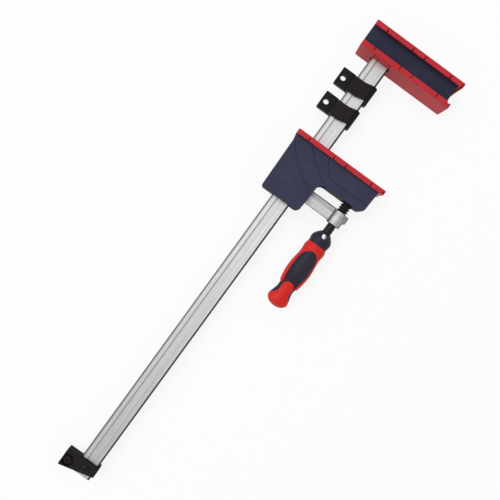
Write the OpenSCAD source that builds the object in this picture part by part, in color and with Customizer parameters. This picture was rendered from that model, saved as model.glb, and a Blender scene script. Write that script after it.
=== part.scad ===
/* [Rail] */
// Width of the rail across its face
rail_w = 29; // [26:0.5:32]
// Thickness of the rail
rail_t = 9; // [8:0.5:10]
// Length of the rail below the fixed jaw's clamping face
rail_tail = 723.8; // [600:0.2:1000]
// Corner radius of the rail's narrow edges
rail_edge_r = 2.5; // [1:0.1:3]
// Width of the shallow channel rolled into each face of the rail
channel_w = 12; // [8:0.5:18]
// Depth of that channel
channel_d = 0.6; // [0.2:0.1:1]

/* [Jaws] */
// Width of the jaws across their pads
jaw_w = 40; // [38:0.5:46]
// Throat, from the rail's edge to the jaw tips
throat = 95; // [92:1:110]
// Reach of the jaws and supports behind the rail's centre line
back_reach = 37; // [36:0.5:42]
// Gap between the two clamping faces
opening = 137.5; // [110:0.5:400]
// Height of a pad over its side lips
pad_h = 7.2; // [6.5:0.1:8.5]
// Thickness of a pad's plate
pad_t = 3.6; // [3:0.1:4.5]
// Thickness of a pad's side lips
pad_lip = 2.8; // [2:0.1:3.2]
// Corner radius of a pad seen from its face
pad_corner_r = 3; // [1:0.5:6]
// Width of the slots that free a pad's clip tabs
tab_slot_w = 1.6; // [1:0.1:3]
// Depth of those slots from the lip's free edge
tab_slot_depth = 4.6; // [2:0.1:5]
// Distance of the first slot from the pad's back end
tab_slot_first = 19.7; // [10:0.1:25]
// Length of a long clip tab
tab_long = 42.2; // [30:0.2:43]
// Length of a short clip tab
tab_short = 19.6; // [10:0.2:20]
// Wall of the plastic shells
shell_t = 3; // [2.4:0.1:3.4]

/* [Fixed jaw] */
// Depth of the fixed jaw over both pads
fixed_depth = 39; // [38:0.2:50]
// Thickness of the fixed jaw's web
web_w = 25; // [24:0.5:28]
// Distance of the web's end from the pad tips
web_setback = 6; // [4:0.5:10]
// Diameter of the pins that hold the fixed jaw to the rail
jaw_pin_d = 6; // [4:0.5:6]

/* [Moving jaw] */
// Thickness of the moving jaw's housing
housing_w = 29; // [28:0.5:32]
// Depth of the beam under the clamping face
beam_depth = 42.6; // [42:0.2:48]
// Depth of the block that runs on the rail
block_depth = 92.4; // [92:0.2:110]
// Reach of the block in front of the rail's centre line
block_front = 30.4; // [30:0.2:34]
// Draw-in of the block's front side at its foot
block_taper = 2; // [0:0.5:3]
// Distance of the beam's end from the pad tip
beam_setback = 6.8; // [6:0.2:12]
// Radius between the block and the beam's underside
arch_r = 10; // [6:0.5:11]
// Radius under the beam's tip
tip_r = 9; // [4:0.5:12]
// Radius of the block's lower front corner
foot_r = 6; // [3:0.5:8]
// Radius of the block's lower back corner
heel_r = 2.8; // [1:0.2:6]
// Diameter of the shell screws
screw_d = 3.4; // [3:0.1:3.6]
// Diameter of the shell screws' heads
screw_head_d = 6.4; // [6:0.1:7]

/* [Slide arm] */
// Distance of the arm's lower edge above the block's foot
arm_rise = 16.6; // [15:0.2:24]
// Height of the arm
arm_h = 19.6; // [16:0.2:20]
// Thickness of the arm between housing and boss
arm_t = 11; // [8:0.5:14]
// Diameter of the threaded boss
boss_d = 21; // [20:0.5:24]
// Height of the threaded boss
boss_h = 20.8; // [18:0.2:22]
// Distance of the spindle from the rail's centre line
spindle_x = 79.5; // [76:0.5:82]

/* [Spindle] */
// Outer diameter of the thread
thread_d = 15.8; // [15:0.1:16]
// Core diameter of the thread
thread_root_d = 13; // [12:0.1:13.4]
// Pitch of the thread
pitch = 4; // [3:0.5:5]
// Diameter of the plain shank
shank_d = 12.8; // [12:0.1:13]
// Length of shank between the boss and the handle
shank_free = 14; // [13:0.5:20]

/* [Handle] */
// Length of the handle
handle_l = 126.5; // [120:0.5:140]
// Diameter of the rounded head
head_d = 31.2; // [28:0.2:33]
// Diameter of the collar under the head
collar_d = 32; // [30:0.5:34]
// Diameter of the grip's belly
belly_d = 35; // [32:0.5:37]
// Diameter of the waist
waist_d = 24.4; // [23:0.2:26]
// Diameter of the flared tail
tail_d = 31.6; // [28:0.2:34]
// Thickness of the red over-moulding
skin_t = 2.4; // [1.6:0.1:2.8]
// Diameter of the cross hole in the head
cross_hole_d = 8; // [6:0.5:8]

/* [Rail supports] */
// Length of a support along the rail
support_l = 27.8; // [24:0.2:30]
// Wall of a support over the rail's faces
support_wall = 4; // [3:0.1:5]
// Thickness of a support's ear
ear_t = 5; // [4:0.5:8]
// Diameter of the hole in an ear
ear_hole_d = 8.2; // [5:0.1:9]
// Distance of the ear hole from the ear's free edge
ear_hole_inset = 7.6; // [7:0.2:10]
// Depth of the scoop in a support's upper edge
scoop_depth = 1.6; // [1:0.2:4]
// Depth of the scoop in a support's lower edge
foot_scoop_depth = 3; // [1:0.2:4]
// Distance of the upper support below the fixed jaw's clamping face
upper_support_at = 30.3; // [29:0.1:36]
// Distance of the lower support below the upper one
support_gap = 11.6; // [11:0.2:16]

/* [End stop] */
// Height of the end stop at its ear
stop_h = 28.7; // [26:0.1:40]
// Height lost along the slanted lower edge
stop_slant = 13; // [6:0.5:14]
// How far the ear reaches past the rail's end
stop_overhang = 2.8; // [2:0.2:8]
// Wall of the end stop beside the rail
stop_wall = 2.8; // [2:0.1:4]
// Wall of the end stop behind the rail
stop_back_wall = 2; // [1.6:0.1:4]
// Diameter of the retaining pin
stop_pin_d = 6; // [4:0.5:8]
// Diameter of the raised disc around that pin
stop_disc_d = 14; // [12:0.5:18]
// Diameter of the hole in the end stop's ear
stop_hole_d = 6; // [4:0.5:8]

/* [Hidden] */
$fn = 64;
arc_steps = 8;
eps = 0.01;

// Clearances
seat_fit = 0.1;
run_fit = 0.08;
slide_fit = 0.3;
free_gap = 1;
overrun = 1;

// Main reaches, measured from the rail's centre line and the fixed clamping face
pad_reach = rail_w / 2 + throat;
half_jaw = jaw_w / 2;
flange_w = jaw_w - 2 * (pad_lip + seat_fit);
tail_reach = rail_tail + stop_overhang;
mid_x = (pad_reach - back_reach) / 2;
mid_y = (fixed_depth - tail_reach) / 2;

// Fixed jaw
web_tip = pad_reach - web_setback;
core_inset = pad_t + shell_t;
rail_top = fixed_depth - core_inset - seat_fit;
fixed_core_w = web_w - 2 * shell_t - 2 * seat_fit;
fixed_pin_places = [
    [-rail_w / 4, core_inset + jaw_pin_d],
    [rail_w / 4, fixed_depth - core_inset - jaw_pin_d]
];

// Moving jaw, measured down from its clamping face
beam_tip = pad_reach - beam_setback;
cavity_w = housing_w - 2 * shell_t;
moving_core_w = cavity_w - 2 * seat_fit;
arm_foot = block_depth - arm_rise;
arm_drop = arm_foot - arm_h;
beam_gap = 1.6;
advance = 6;
retreat = arm_drop - beam_depth - beam_gap;
arm_zone_top = arm_drop - retreat - free_gap;
arm_zone_foot = arm_foot + advance + free_gap;
core_top = pad_t + shell_t;
back_draw = 2;
back_taper = 1.3;
draw_h = 9;
draw_r = 3;
beam_taper = 1.3;
core_back = back_reach - back_draw - shell_t - seat_fit;
core_foot = block_depth - shell_t - seat_fit;
core_tip = beam_tip - shell_t - seat_fit;
beam_core_foot = beam_depth - shell_t - seat_fit;
core_front = block_front - block_taper - shell_t - free_gap;
leg_t = 7;
eye_wall = 6.6;
eye_w = rail_w + 2 * eye_wall;
eye_side_gap = 1.5;
eye_t = moving_core_w - 2 * eye_side_gap;
ridge_h = 8;
ridge_t = 0.6;
lug_h = 12;
lug_l = 3;
screw_places = [
    [-core_back + leg_t / 2, core_top + 2 * screw_d],
    [-core_back + leg_t / 2, arm_foot],
    [spindle_x / 2 + screw_d, core_top + 4 * screw_d],
    [core_tip - screw_d, core_top + 2 * screw_d]
];
screw_l = housing_w - 3 * shell_t;
screw_head_h = 2.4;

// Brake spring in the arm's eye
brake_t = 0.8;
brake_bow = 1.2;
brake_rim = 2;
brake_w = rail_t - brake_rim;

// Guide shoes
shoe_t = 3;
shoe_w = rail_t + 2 * shoe_t;
upper_shoe_h = 12;
upper_shoe_top = core_top + 2 * free_gap;
upper_shoe_foot = upper_shoe_top + upper_shoe_h;
lower_shoe_top = arm_zone_foot + free_gap;
lower_shoe_foot = core_foot - free_gap;

// Spindle bearing in the beam, measured down from the clamping face
bearing_d = boss_d - free_gap;
cup_t = 5;
cup_back = 10;
cup_seat = core_top + cup_back;
spindle_end = cup_seat + cup_t + run_fit;
clip_t = 1.8;
clip_d = bearing_d - 2 * free_gap;
groove_depth = 1.5;
groove_d = shank_d - 2 * groove_depth;
nose_l = 4;
clip_top = spindle_end + nose_l;
bush_top = clip_top + clip_t + 2 * run_fit;
thread_top = beam_depth - shell_t + slide_fit;
boss_sag = 1.7;
boss_top = arm_drop + (arm_h - boss_h) / 2 + boss_sag;
boss_foot = boss_top + boss_h;
head_top = boss_foot + shank_free;
thread_turns = ceil((boss_foot - thread_top) / pitch);
thread_foot = thread_top + thread_turns * pitch;
thread_sides = 20;
thread_slices = 12;
thread_root_share = 0.3;
thread_flank_share = 0.4;

// Handle, measured down from the top of its head
neck_rim = 1;
head_belly = 13.5;
head_draw = 2.2;
cross_hole_at = 6.3;
socket_l = 14;
tang_l = 70;
tang_w = 9;
collar_top = 21.5;
collar_at = 28.5;
dip_at = 38.5;
dip_draw = 1.6;
belly_at = 63.7;
panel_top = 32.8;
panel_arch = 17;
panel_rim = 3.3;
panel_draw = 1;
panel_side_r = 20;
panel_knee = 79;
panel_foot_w = 21.6;
waist_at = 99;
sleeve_foot = 91.5;
ledge_l = 1;
ledge_at = sleeve_foot - ledge_l;
ledge_d = 28.4;
ledge_drop = 2;
tongue_top = 85;
tongue_foot = 104;
tongue_w = 17.6;
tongue_r = 8;
flare_at = 115.5;
shoulder_rise = 1.5;
station_steps = 5;

// End stop; its ear is as thick behind as a support's ear
stop_front = rail_w / 2 + stop_wall;
stop_face = rail_t / 2 + support_wall;
stop_back = -rail_t / 2 - stop_back_wall;
stop_top = tail_reach - stop_h;
stop_pin_rise = 12.9;
stop_pin_at = [0, -rail_tail + stop_pin_rise];
stop_rim = 2.2;
stop_boss_d = stop_hole_d + 2 * stop_rim;
stop_hole_rise = 13.6;
stop_hole_at = [-back_reach + ear_hole_inset + free_gap, -tail_reach + stop_hole_rise];
stop_disc_rise = 1;
stop_corner_r = 1.8;
stop_angle = atan(stop_slant / (back_reach + stop_front));
stop_tuck = stop_corner_r * (tan(stop_angle) + 1 / cos(stop_angle) - 1);

// Rail supports
support_half = rail_w / 2 + support_wall;
support_w = rail_t + 2 * support_wall;
support_round = 6.5;
support_back_r = 1;
support_chord = support_half - support_round + rail_w / 2 - 2 * overrun;
scoop_x = (support_half - support_round - rail_w / 2) / 2;

function unit(v) = v / norm(v);

// Points of an arc that rounds corner b between a and c by the radius r
function corner(a, b, c, r) =
    r == 0 ? [b] :
    let (
        u = unit(a - b),
        w = unit(c - b),
        half = acos(u * w) / 2,
        centre = b + unit(u + w) * r / sin(half),
        start = b + u * r / tan(half) - centre,
        finish = b + w * r / tan(half) - centre,
        from = atan2(start.y, start.x),
        sweep = (atan2(finish.y, finish.x) - from + 540) % 360 - 180
    )
    [for (i = [0:arc_steps]) let (a = from + sweep * i / arc_steps) centre + r * [cos(a), sin(a)]];

// Outline through corners given as [x, y, radius]
function rounded(corners) =
    let (n = len(corners), at = [for (c = corners) [c.x, c.y]])
    [for (i = [0:n - 1]) each corner(at[(i + n - 1) % n], at[i], at[(i + 1) % n], corners[i].z)];

function box_corners(low, high, r) =
    [[low.x, low.y, r], [high.x, low.y, r], [high.x, high.y, r], [low.x, high.y, r]];

function smooth(t) = t * t * (3 - 2 * t);

// Distance of a pad's slot number i from the rail's centre line
function tab_slot_x(i) = tab_slot_first - back_reach + ceil(i / 2) * tab_long + floor(i / 2) * tab_short;

// Moves the clamp so that it lies on its side with its origin under the middle of its box
module in_frame() {
    translate([-mid_x, -mid_y, half_jaw]) children();
}

module at_moving_face() {
    in_frame() translate([0, -opening, 0]) children();
}

// Extrudes a section drawn across the rail from one distance along it to another
module along_rail(from, to) {
    translate([0, to, 0]) rotate([90, 0, 0]) linear_extrude(to - from) children();
}

// Block given by its lowest and highest corners
module block(low, high) {
    translate(low) cube(high - low);
}

// Block over the full width w that reaches from one side point to another
module slab(low, high, w) {
    block([low.x, low.y, -w / 2], [high.x, high.y, w / 2]);
}

// Everything in front of the middle plane between two side points
module front_half(low, high) {
    block([low.x, low.y, 0], [high.x, high.y, jaw_w]);
}

module cross_pin(place, d, l) {
    translate([place.x, place.y, -l / 2]) cylinder(d = d, h = l);
}

// Round bar along the spindle between two depths below the moving clamping face
module spindle_rod(d, from, to) {
    translate([spindle_x, -to, 0]) rotate([-90, 0, 0]) cylinder(d = d, h = to - from);
}

module rail_passage(clearance, from, to) {
    slab([-rail_w / 2 - clearance, from], [rail_w / 2 + clearance, to], rail_t + 2 * clearance);
}

module rail_section() {
    inner = [rail_w - 2 * rail_edge_r, rail_t - 2 * rail_edge_r];
    difference() {
        union() {
            square([inner.x, rail_t], center = true);
            square([rail_w, inner.y], center = true);
            for (x = [-1, 1], y = [-1, 1])
                translate([x * inner.x / 2, y * inner.y / 2]) circle(rail_edge_r);
        }
        for (side = [-1, 1])
            translate([0, side * rail_t / 2]) square([channel_w, 2 * channel_d], center = true);
    }
}

module rail() {
    color("silver") in_frame() difference() {
        along_rail(-rail_tail, rail_top) rail_section();
        for (place = fixed_pin_places) cross_pin(place, jaw_pin_d + 2 * run_fit, jaw_w);
        cross_pin(stop_pin_at, stop_pin_d + 2 * run_fit, jaw_w);
    }
}

// Clip-on pad: clamping face at y = 0, side lips towards +y
module pad(rail_opening) {
    difference() {
        along_rail(0, pad_h)
            polygon(rounded(box_corners([-back_reach, -half_jaw], [pad_reach, half_jaw], pad_corner_r)));
        slab([-back_reach - eps, pad_t], [pad_reach + eps, pad_h + eps], jaw_w - 2 * pad_lip);
        for (i = [0:4], side = [-1, 1])
            translate([tab_slot_x(i), pad_h - tab_slot_depth / 2, side * (half_jaw - pad_lip / 2)])
                cube([tab_slot_w, tab_slot_depth + eps, pad_lip + 2 * eps], center = true);
        if (rail_opening) rail_passage(free_gap, -eps, pad_h);
    }
}

module fixed_jaw_clamp_pad() {
    color("firebrick") in_frame() pad(true);
}

module fixed_jaw_outer_pad() {
    color("firebrick") in_frame() translate([0, fixed_depth, 0]) mirror([0, 1, 0]) pad(false);
}

module moving_jaw_pad() {
    color("firebrick") at_moving_face() mirror([0, 1, 0]) pad(true);
}

// I-section half that lies in front of the middle plane
module fixed_shell_half() {
    low = pad_t + seat_fit;
    high = fixed_depth - low;
    intersection() {
        difference() {
            union() {
                slab([-back_reach, low], [web_tip, high], web_w);
                slab([-back_reach, low], [web_tip, pad_h], flange_w);
                slab([-back_reach, fixed_depth - pad_h], [web_tip, high], flange_w);
            }
            slab(
                [-back_reach + shell_t, core_inset],
                [web_tip - shell_t, fixed_depth - core_inset],
                web_w - 2 * shell_t
            );
            rail_passage(slide_fit, 0, core_inset + eps);
        }
        front_half([-back_reach, 0], [pad_reach, fixed_depth]);
    }
}

module fixed_jaw_front_shell() {
    color("midnightblue") in_frame() fixed_shell_half();
}

module fixed_jaw_back_shell() {
    color("midnightblue") in_frame() mirror([0, 0, 1]) fixed_shell_half();
}

module fixed_jaw_core() {
    color("dimgray") in_frame() difference() {
        slab(
            [-back_reach + shell_t + seat_fit, core_inset + seat_fit],
            [web_tip - shell_t - seat_fit, fixed_depth - core_inset - seat_fit],
            fixed_core_w
        );
        rail_passage(seat_fit, 0, fixed_depth);
        for (place = fixed_pin_places) cross_pin(place, jaw_pin_d + 2 * run_fit, jaw_w);
    }
}

module fixed_jaw_pins() {
    color("gray") in_frame() for (place = fixed_pin_places) cross_pin(place, jaw_pin_d, fixed_core_w);
}

// Side outline of the moving jaw's housing, measured down from its clamping face
function housing_outline() = rounded([
    [-back_reach, -pad_t - seat_fit, 0],
    [-back_reach, -pad_h, 0],
    [-back_reach + back_draw, -pad_h - draw_h, draw_r],
    [-back_reach + back_draw + back_taper, -block_depth, heel_r],
    [block_front - block_taper, -block_depth, foot_r],
    [block_front, -beam_depth, arch_r],
    [beam_tip - beam_taper, -beam_depth, tip_r],
    [beam_tip, -pad_h, 0],
    [beam_tip, -pad_t - seat_fit, 0]
]);

module housing_body() {
    translate([0, 0, -housing_w / 2]) linear_extrude(housing_w) polygon(housing_outline());
    slab([-back_reach, -pad_h], [beam_tip, -pad_t - seat_fit], flange_w);
}

// Room inside the housing for the core, the arm's eye and the spindle
module housing_room() {
    slab([-core_back - seat_fit, -core_foot - seat_fit], [core_front + free_gap, -core_top], cavity_w);
    slab([0, -beam_core_foot - seat_fit], [core_tip + seat_fit, -core_top], cavity_w);
    rail_passage(slide_fit, -block_depth - eps, 0);
    slab([0, -arm_zone_foot], [block_front + arch_r, -beam_depth + eps], arm_t + 2 * free_gap);
    spindle_rod(thread_d + 2 * free_gap, beam_core_foot, beam_depth + eps);
}

module housing_half() {
    intersection() {
        difference() {
            housing_body();
            housing_room();
        }
        front_half([-back_reach, -block_depth], [pad_reach, 0]);
    }
}

module screw_holes(d) {
    for (place = screw_places)
        translate([place.x, -place.y, -housing_w / 2 - eps])
            cylinder(d = d, h = shell_t + screw_l + eps);
}

module moving_jaw_front_shell() {
    color("midnightblue") at_moving_face() difference() {
        housing_half();
        screw_holes(screw_d + 2 * run_fit);
    }
}

module moving_jaw_back_shell() {
    color("midnightblue") at_moving_face() difference() {
        mirror([0, 0, 1]) housing_half();
        screw_holes(screw_d + 2 * run_fit);
        for (place = screw_places) translate([place.x, -place.y, -housing_w / 2 - eps])
            cylinder(d = screw_head_d + 2 * run_fit, h = screw_head_h + eps);
    }
}

module moving_jaw_screws() {
    color("gray") at_moving_face() for (place = screw_places)
        translate([place.x, -place.y, -housing_w / 2]) {
            translate([0, 0, screw_head_h]) cylinder(d = screw_d, h = screw_l);
            difference() {
                cylinder(d = screw_head_d, h = screw_head_h);
                translate([0, 0, -eps]) cylinder(d = screw_d, h = screw_head_h / 2, $fn = 6);
            }
        }
}

// Pockets and shoes on the rail's two edges between two depths
module guide_shoes(from, to, grow) {
    for (side = [-1, 1]) translate([side * (rail_w / 2 + slide_fit + shoe_t / 2), -(from + to) / 2, 0])
        cube([shoe_t + 2 * grow, to - from + 2 * grow, shoe_w + 2 * grow], center = true);
}

module upper_guide_shoes() {
    color("ivory") at_moving_face() guide_shoes(upper_shoe_top, upper_shoe_foot, 0);
}

module lower_guide_shoes() {
    color("ivory") at_moving_face() guide_shoes(lower_shoe_top, lower_shoe_foot, 0);
}

module moving_jaw_core() {
    color("dimgray") at_moving_face() difference() {
        union() {
            slab([-core_back, -arm_zone_top], [core_front, -core_top - seat_fit], moving_core_w);
            slab([0, -beam_core_foot], [core_tip, -core_top - seat_fit], moving_core_w);
            slab([-core_back, -core_foot], [-core_back + leg_t, -core_top - seat_fit], moving_core_w);
            slab([-core_back, -core_foot], [core_front, -arm_zone_foot], moving_core_w);
        }
        rail_passage(slide_fit, -block_depth, 0);
        guide_shoes(upper_shoe_top, upper_shoe_foot, seat_fit);
        guide_shoes(lower_shoe_top, lower_shoe_foot, seat_fit);
        spindle_rod(bearing_d + 2 * seat_fit, cup_seat, beam_depth);
        for (place = screw_places) cross_pin([place.x, -place.y], screw_d + 2 * slide_fit, jaw_w);
    }
}

module thrust_cup() {
    color("darkgoldenrod") at_moving_face() spindle_rod(bearing_d, cup_seat + eps, cup_seat + cup_t);
}

module spindle_bush() {
    color("darkgoldenrod") at_moving_face() difference() {
        spindle_rod(bearing_d, bush_top, beam_core_foot - eps);
        spindle_rod(shank_d + 2 * run_fit, bush_top - eps, beam_core_foot);
    }
}

// Eye around the rail, arm out to the spindle and threaded boss
module slide_arm() {
    eye_top = -arm_drop;
    color("silver") at_moving_face() difference() {
        union() {
            slab([-eye_w / 2, -arm_foot], [core_front - free_gap, eye_top], eye_t);
            slab([0, -arm_foot], [spindle_x, eye_top], arm_t);
            slab([0, -arm_drop - ridge_h], [spindle_x, eye_top], arm_t + 2 * ridge_t);
            spindle_rod(boss_d, boss_top, boss_foot);
            slab([spindle_x, -boss_top - lug_h], [spindle_x + boss_d / 2 + lug_l, -boss_top], arm_t);
        }
        rail_passage(slide_fit, -arm_foot - eps, eye_top + eps);
        brake_pocket();
        spindle_rod(thread_d + 2 * slide_fit, arm_drop - eps, boss_foot + eps);
    }
}

// Slot behind the rail's back edge in which the bowed spring lies
module brake_pocket() {
    x = -rail_w / 2 - slide_fit;
    slab(
        [x - brake_bow - brake_t - seat_fit, -arm_foot + brake_rim],
        [x + eps, -arm_drop - brake_rim],
        brake_w + 2 * seat_fit
    );
}

// Bowed leaf spring that rubs on the rail's back edge
module brake_spring() {
    half = arm_h / 2 - brake_rim - slide_fit;
    bow_r = (half * half + brake_bow * brake_bow) / (2 * brake_bow);
    centre = [-rail_w / 2 - slide_fit - bow_r, -arm_drop - arm_h / 2];
    color("slategray") at_moving_face() intersection() {
        difference() {
            cross_pin(centre, 2 * bow_r, brake_w);
            cross_pin(centre, 2 * (bow_r - brake_t), jaw_w);
        }
        slab([-rail_w, centre.y - half], [-rail_w / 2, centre.y + half], jaw_w);
    }
}

// Outer radius of the thread's section at the angle a
function thread_r(a) =
    let (
        phase = abs(a / 180 - 1),
        flank = max(0, min(1, (phase - thread_root_share) / thread_flank_share))
    )
    thread_root_d / 2 + (thread_d - thread_root_d) / 2 * flank;

module thread(turns) {
    angles = [for (i = [0:thread_sides - 1]) 360 * i / thread_sides];
    slices = thread_slices * turns;
    linear_extrude(turns * pitch, twist = -360 * turns, slices = slices, $fn = thread_sides)
        polygon([for (a = angles) thread_r(a) * [cos(a), sin(a)]]);
}

module tang(grow, foot) {
    slab(
        [spindle_x - tang_w / 2 - grow, -foot],
        [spindle_x + tang_w / 2 + grow, -head_top],
        tang_w + 2 * grow
    );
}

module cross_hole(d) {
    cross_pin([spindle_x, -head_top - cross_hole_at], d, 2 * jaw_w);
}

module spindle() {
    color([0.15, 0.14, 0.13]) at_moving_face() difference() {
        union() {
            spindle_rod(shank_d, spindle_end, clip_top);
            spindle_rod(groove_d, clip_top - eps, clip_top + clip_t + eps);
            spindle_rod(shank_d, clip_top + clip_t, thread_top);
            translate([spindle_x, -thread_foot, 0]) rotate([-90, 0, 0]) thread(thread_turns);
            spindle_rod(shank_d, thread_foot, head_top + socket_l);
            tang(0, head_top + tang_l);
        }
        cross_hole(cross_hole_d);
    }
}

// C-shaped clip in the groove near the spindle's end
module retaining_clip() {
    color("slategray") at_moving_face() difference() {
        spindle_rod(clip_d, clip_top + run_fit, clip_top + clip_t - run_fit);
        spindle_rod(groove_d + 2 * run_fit, clip_top, clip_top + clip_t);
        slab(
            [spindle_x, -clip_top - clip_t],
            [spindle_x + clip_d, -clip_top],
            groove_d - 2 * free_gap
        );
    }
}

// Diameters along the handle, as [distance below the top of the head, diameter]
handle_stations = [
    [0, shank_d + 2 * neck_rim], [head_belly, head_d], [collar_top, head_d - head_draw],
    [collar_at, collar_d], [dip_at, collar_d - dip_draw], [belly_at, belly_d],
    [waist_at, waist_d], [flare_at, tail_d], [handle_l, 0]
];

// The same over the sleeve, which stands proud of the core at its foot
sleeve_stations = [
    for (station = handle_stations)
        each station.x == waist_at
            ? [[ledge_at, ledge_d], [sleeve_foot, ledge_d - ledge_drop], station] : [station]
];

function segment(stations, h) = max([for (i = [0:len(stations) - 2]) if (stations[i].x <= h) i]);

// Radius of the handle: rounded over the head and the tail, falling ever faster to the ledge,
// smooth between the other stations
function handle_r(stations, h) =
    let (
        i = segment(stations, h),
        a = stations[i],
        b = stations[i + 1],
        t = (h - a.x) / (b.x - a.x),
        ease = b.x == head_belly ? sin(90 * t)
            : b.x == handle_l ? 1 - sqrt(max(0, 1 - t * t))
            : b.x == ledge_at ? t * t : smooth(t)
    )
    (a.y + (b.y - a.y) * ease) / 2;

function handle_heights(stations, from, to) = [
    from,
    for (i = [0:len(stations) - 2], k = [0:station_steps - 1])
        let (a = stations[i].x, b = stations[i + 1].x, h = a + (b - a) * k / station_steps)
        if (h > from && h < to) h,
    to
];

// Solid of revolution between two distances below the head, drawn in by inset
module handle_turned(stations, from, to, inset) {
    heights = handle_heights(stations, from, to);
    outline = [
        [0, -from],
        each [for (h = heights) [max(eps, handle_r(stations, min(h, handle_l - eps)) - inset), -h]],
        [0, -to]
    ];
    translate([spindle_x, -head_top, 0]) rotate([-90, 0, 0]) rotate_extrude() polygon(outline);
}

// Sideways column over an outline drawn in the plane of the jaws
module sideways(outline) {
    translate([spindle_x, -head_top, -jaw_w]) linear_extrude(2 * jaw_w) polygon(outline);
}

// Window of the blue panel in the red sleeve, arched at its top and narrowed to its foot
function panel_outline(grow) =
    let (
        w = belly_d / 2 - panel_rim + grow,
        narrow = w - panel_draw,
        spring = -panel_top - panel_arch,
        rise = panel_arch + grow,
        arch_steps = 2 * arc_steps,
        foot_w = panel_foot_w / 2 + grow,
        foot = -sleeve_foot - overrun
    )
    rounded([
        for (i = [0:arch_steps])
            let (a = 180 - 180 * i / arch_steps) [narrow * cos(a), spring + rise * sin(a), 0],
        [w, -belly_at, panel_side_r], [narrow, -panel_knee, panel_side_r], [foot_w, foot, 0],
        [-foot_w, foot, 0], [-narrow, -panel_knee, panel_side_r], [-w, -belly_at, panel_side_r]
    ]);

// Tongue of the tail cap with its flare down to the end
function tongue_outline(grow) =
    let (
        w = tongue_w / 2 + grow,
        top = -tongue_top + grow,
        shoulder = -flare_at + shoulder_rise + grow,
        shoulder_w = tail_d / 2 + overrun,
        foot = -handle_l - overrun
    )
    rounded([
        [-w, top, tongue_r], [w, top, tongue_r], [w, -tongue_foot, tongue_r],
        [shoulder_w, shoulder, 0], [shoulder_w, foot, 0],
        [-shoulder_w, foot, 0], [-shoulder_w, shoulder, 0],
        [-w, -tongue_foot, tongue_r]
    ]);

module sleeve_form(grow) {
    difference() {
        handle_turned(sleeve_stations, collar_top - grow, sleeve_foot + grow, -grow);
        handle_turned(handle_stations, collar_top - overrun, sleeve_foot + overrun, skin_t + grow);
        sideways(panel_outline(-grow));
    }
}

module tail_form(grow) {
    difference() {
        intersection() {
            handle_turned(handle_stations, tongue_top - overrun, handle_l, -grow);
            sideways(tongue_outline(grow));
        }
        handle_turned(handle_stations, tongue_top - 2 * overrun, handle_l - 2 * skin_t, skin_t + grow);
    }
}

module handle_core() {
    color([0.2, 0.2, 0.27]) at_moving_face() difference() {
        handle_turned(handle_stations, 0, handle_l, 0);
        sleeve_form(seat_fit);
        tail_form(seat_fit);
        spindle_rod(shank_d + 2 * run_fit, head_top - eps, head_top + socket_l + run_fit);
        tang(run_fit, head_top + tang_l + run_fit);
        cross_hole(cross_hole_d);
    }
}

module grip_sleeve() {
    color("red") at_moving_face() sleeve_form(0);
}

module tail_cap() {
    color("red") at_moving_face() tail_form(0);
}

// Radius of a scoop of the given depth between the ends of the chord
function scoop_r(depth) = (support_chord * support_chord / 4 + depth * depth) / (2 * depth);

// Sleeve around the rail with a drilled ear at its back and scooped ends
module support(top) {
    foot = top - support_l;
    upper_r = scoop_r(scoop_depth);
    lower_r = scoop_r(foot_scoop_depth);
    difference() {
        union() {
            along_rail(foot, top) polygon(rounded([
                [-support_half, -support_w / 2, support_back_r],
                [support_half, -support_w / 2, support_round],
                [support_half, support_w / 2, support_round],
                [-support_half, support_w / 2, support_back_r]
            ]));
            slab([-back_reach, foot], [-rail_w / 2 - slide_fit, top], ear_t);
        }
        rail_passage(slide_fit, foot - eps, top + eps);
        cross_pin([-back_reach + ear_hole_inset, (foot + top) / 2], ear_hole_d, jaw_w);
        cross_pin([scoop_x, top - scoop_depth + upper_r], 2 * upper_r, jaw_w);
        cross_pin([scoop_x, foot + foot_scoop_depth - lower_r], 2 * lower_r, jaw_w);
    }
}

module upper_rail_support() {
    color([0.16, 0.15, 0.14]) in_frame() support(-upper_support_at);
}

module lower_rail_support() {
    color([0.16, 0.15, 0.14]) in_frame() support(-upper_support_at - support_l - support_gap);
}

// Side outline of the end stop; the tuck lets its rounded lower corner reach the full length
function stop_outline(inset) = rounded([
    [-back_reach + inset, -stop_top - inset, stop_corner_r],
    [stop_front - inset, -stop_top - inset, stop_corner_r],
    [stop_front - inset, -tail_reach - stop_tuck + stop_slant + inset, stop_corner_r],
    [-back_reach + inset, -tail_reach - stop_tuck + inset, stop_corner_r]
]);

module stop_column(inset, back, face) {
    translate([0, 0, back]) linear_extrude(face - back) polygon(stop_outline(inset));
}

// Round bar across the end stop between two heights
module stop_post(place, d, back, face) {
    translate([place.x, place.y, back]) cylinder(d = d, h = face - back);
}

// Sleeve round the rail's end with a pinned disc in front and a hollowed ear round a drilled boss
module end_stop() {
    ear_edge = -rail_w / 2 - slide_fit - stop_wall;
    ear_face = ear_t / 2;
    color([0.16, 0.15, 0.14]) in_frame() difference() {
        union() {
            difference() {
                stop_column(0, -ear_face, stop_face);
                intersection() {
                    stop_column(stop_rim, ear_face, jaw_w);
                    slab([-back_reach, -tail_reach], [ear_edge, -stop_top], 2 * jaw_w);
                }
            }
            intersection() {
                stop_column(0, stop_back, stop_face);
                slab([ear_edge, -tail_reach], [stop_front, -stop_top], 2 * jaw_w);
            }
            stop_post(stop_hole_at, stop_boss_d, -ear_face, stop_face);
            stop_post(stop_pin_at, stop_disc_d, 0, stop_face + stop_disc_rise);
        }
        rail_passage(slide_fit, -tail_reach - eps, -stop_top + eps);
        cross_pin(stop_hole_at, stop_hole_d, jaw_w);
        cross_pin(stop_pin_at, stop_pin_d + 2 * run_fit, jaw_w);
    }
}

module end_stop_pin() {
    color("gray") in_frame() stop_post(stop_pin_at, stop_pin_d, stop_back, stop_face);
}

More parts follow.
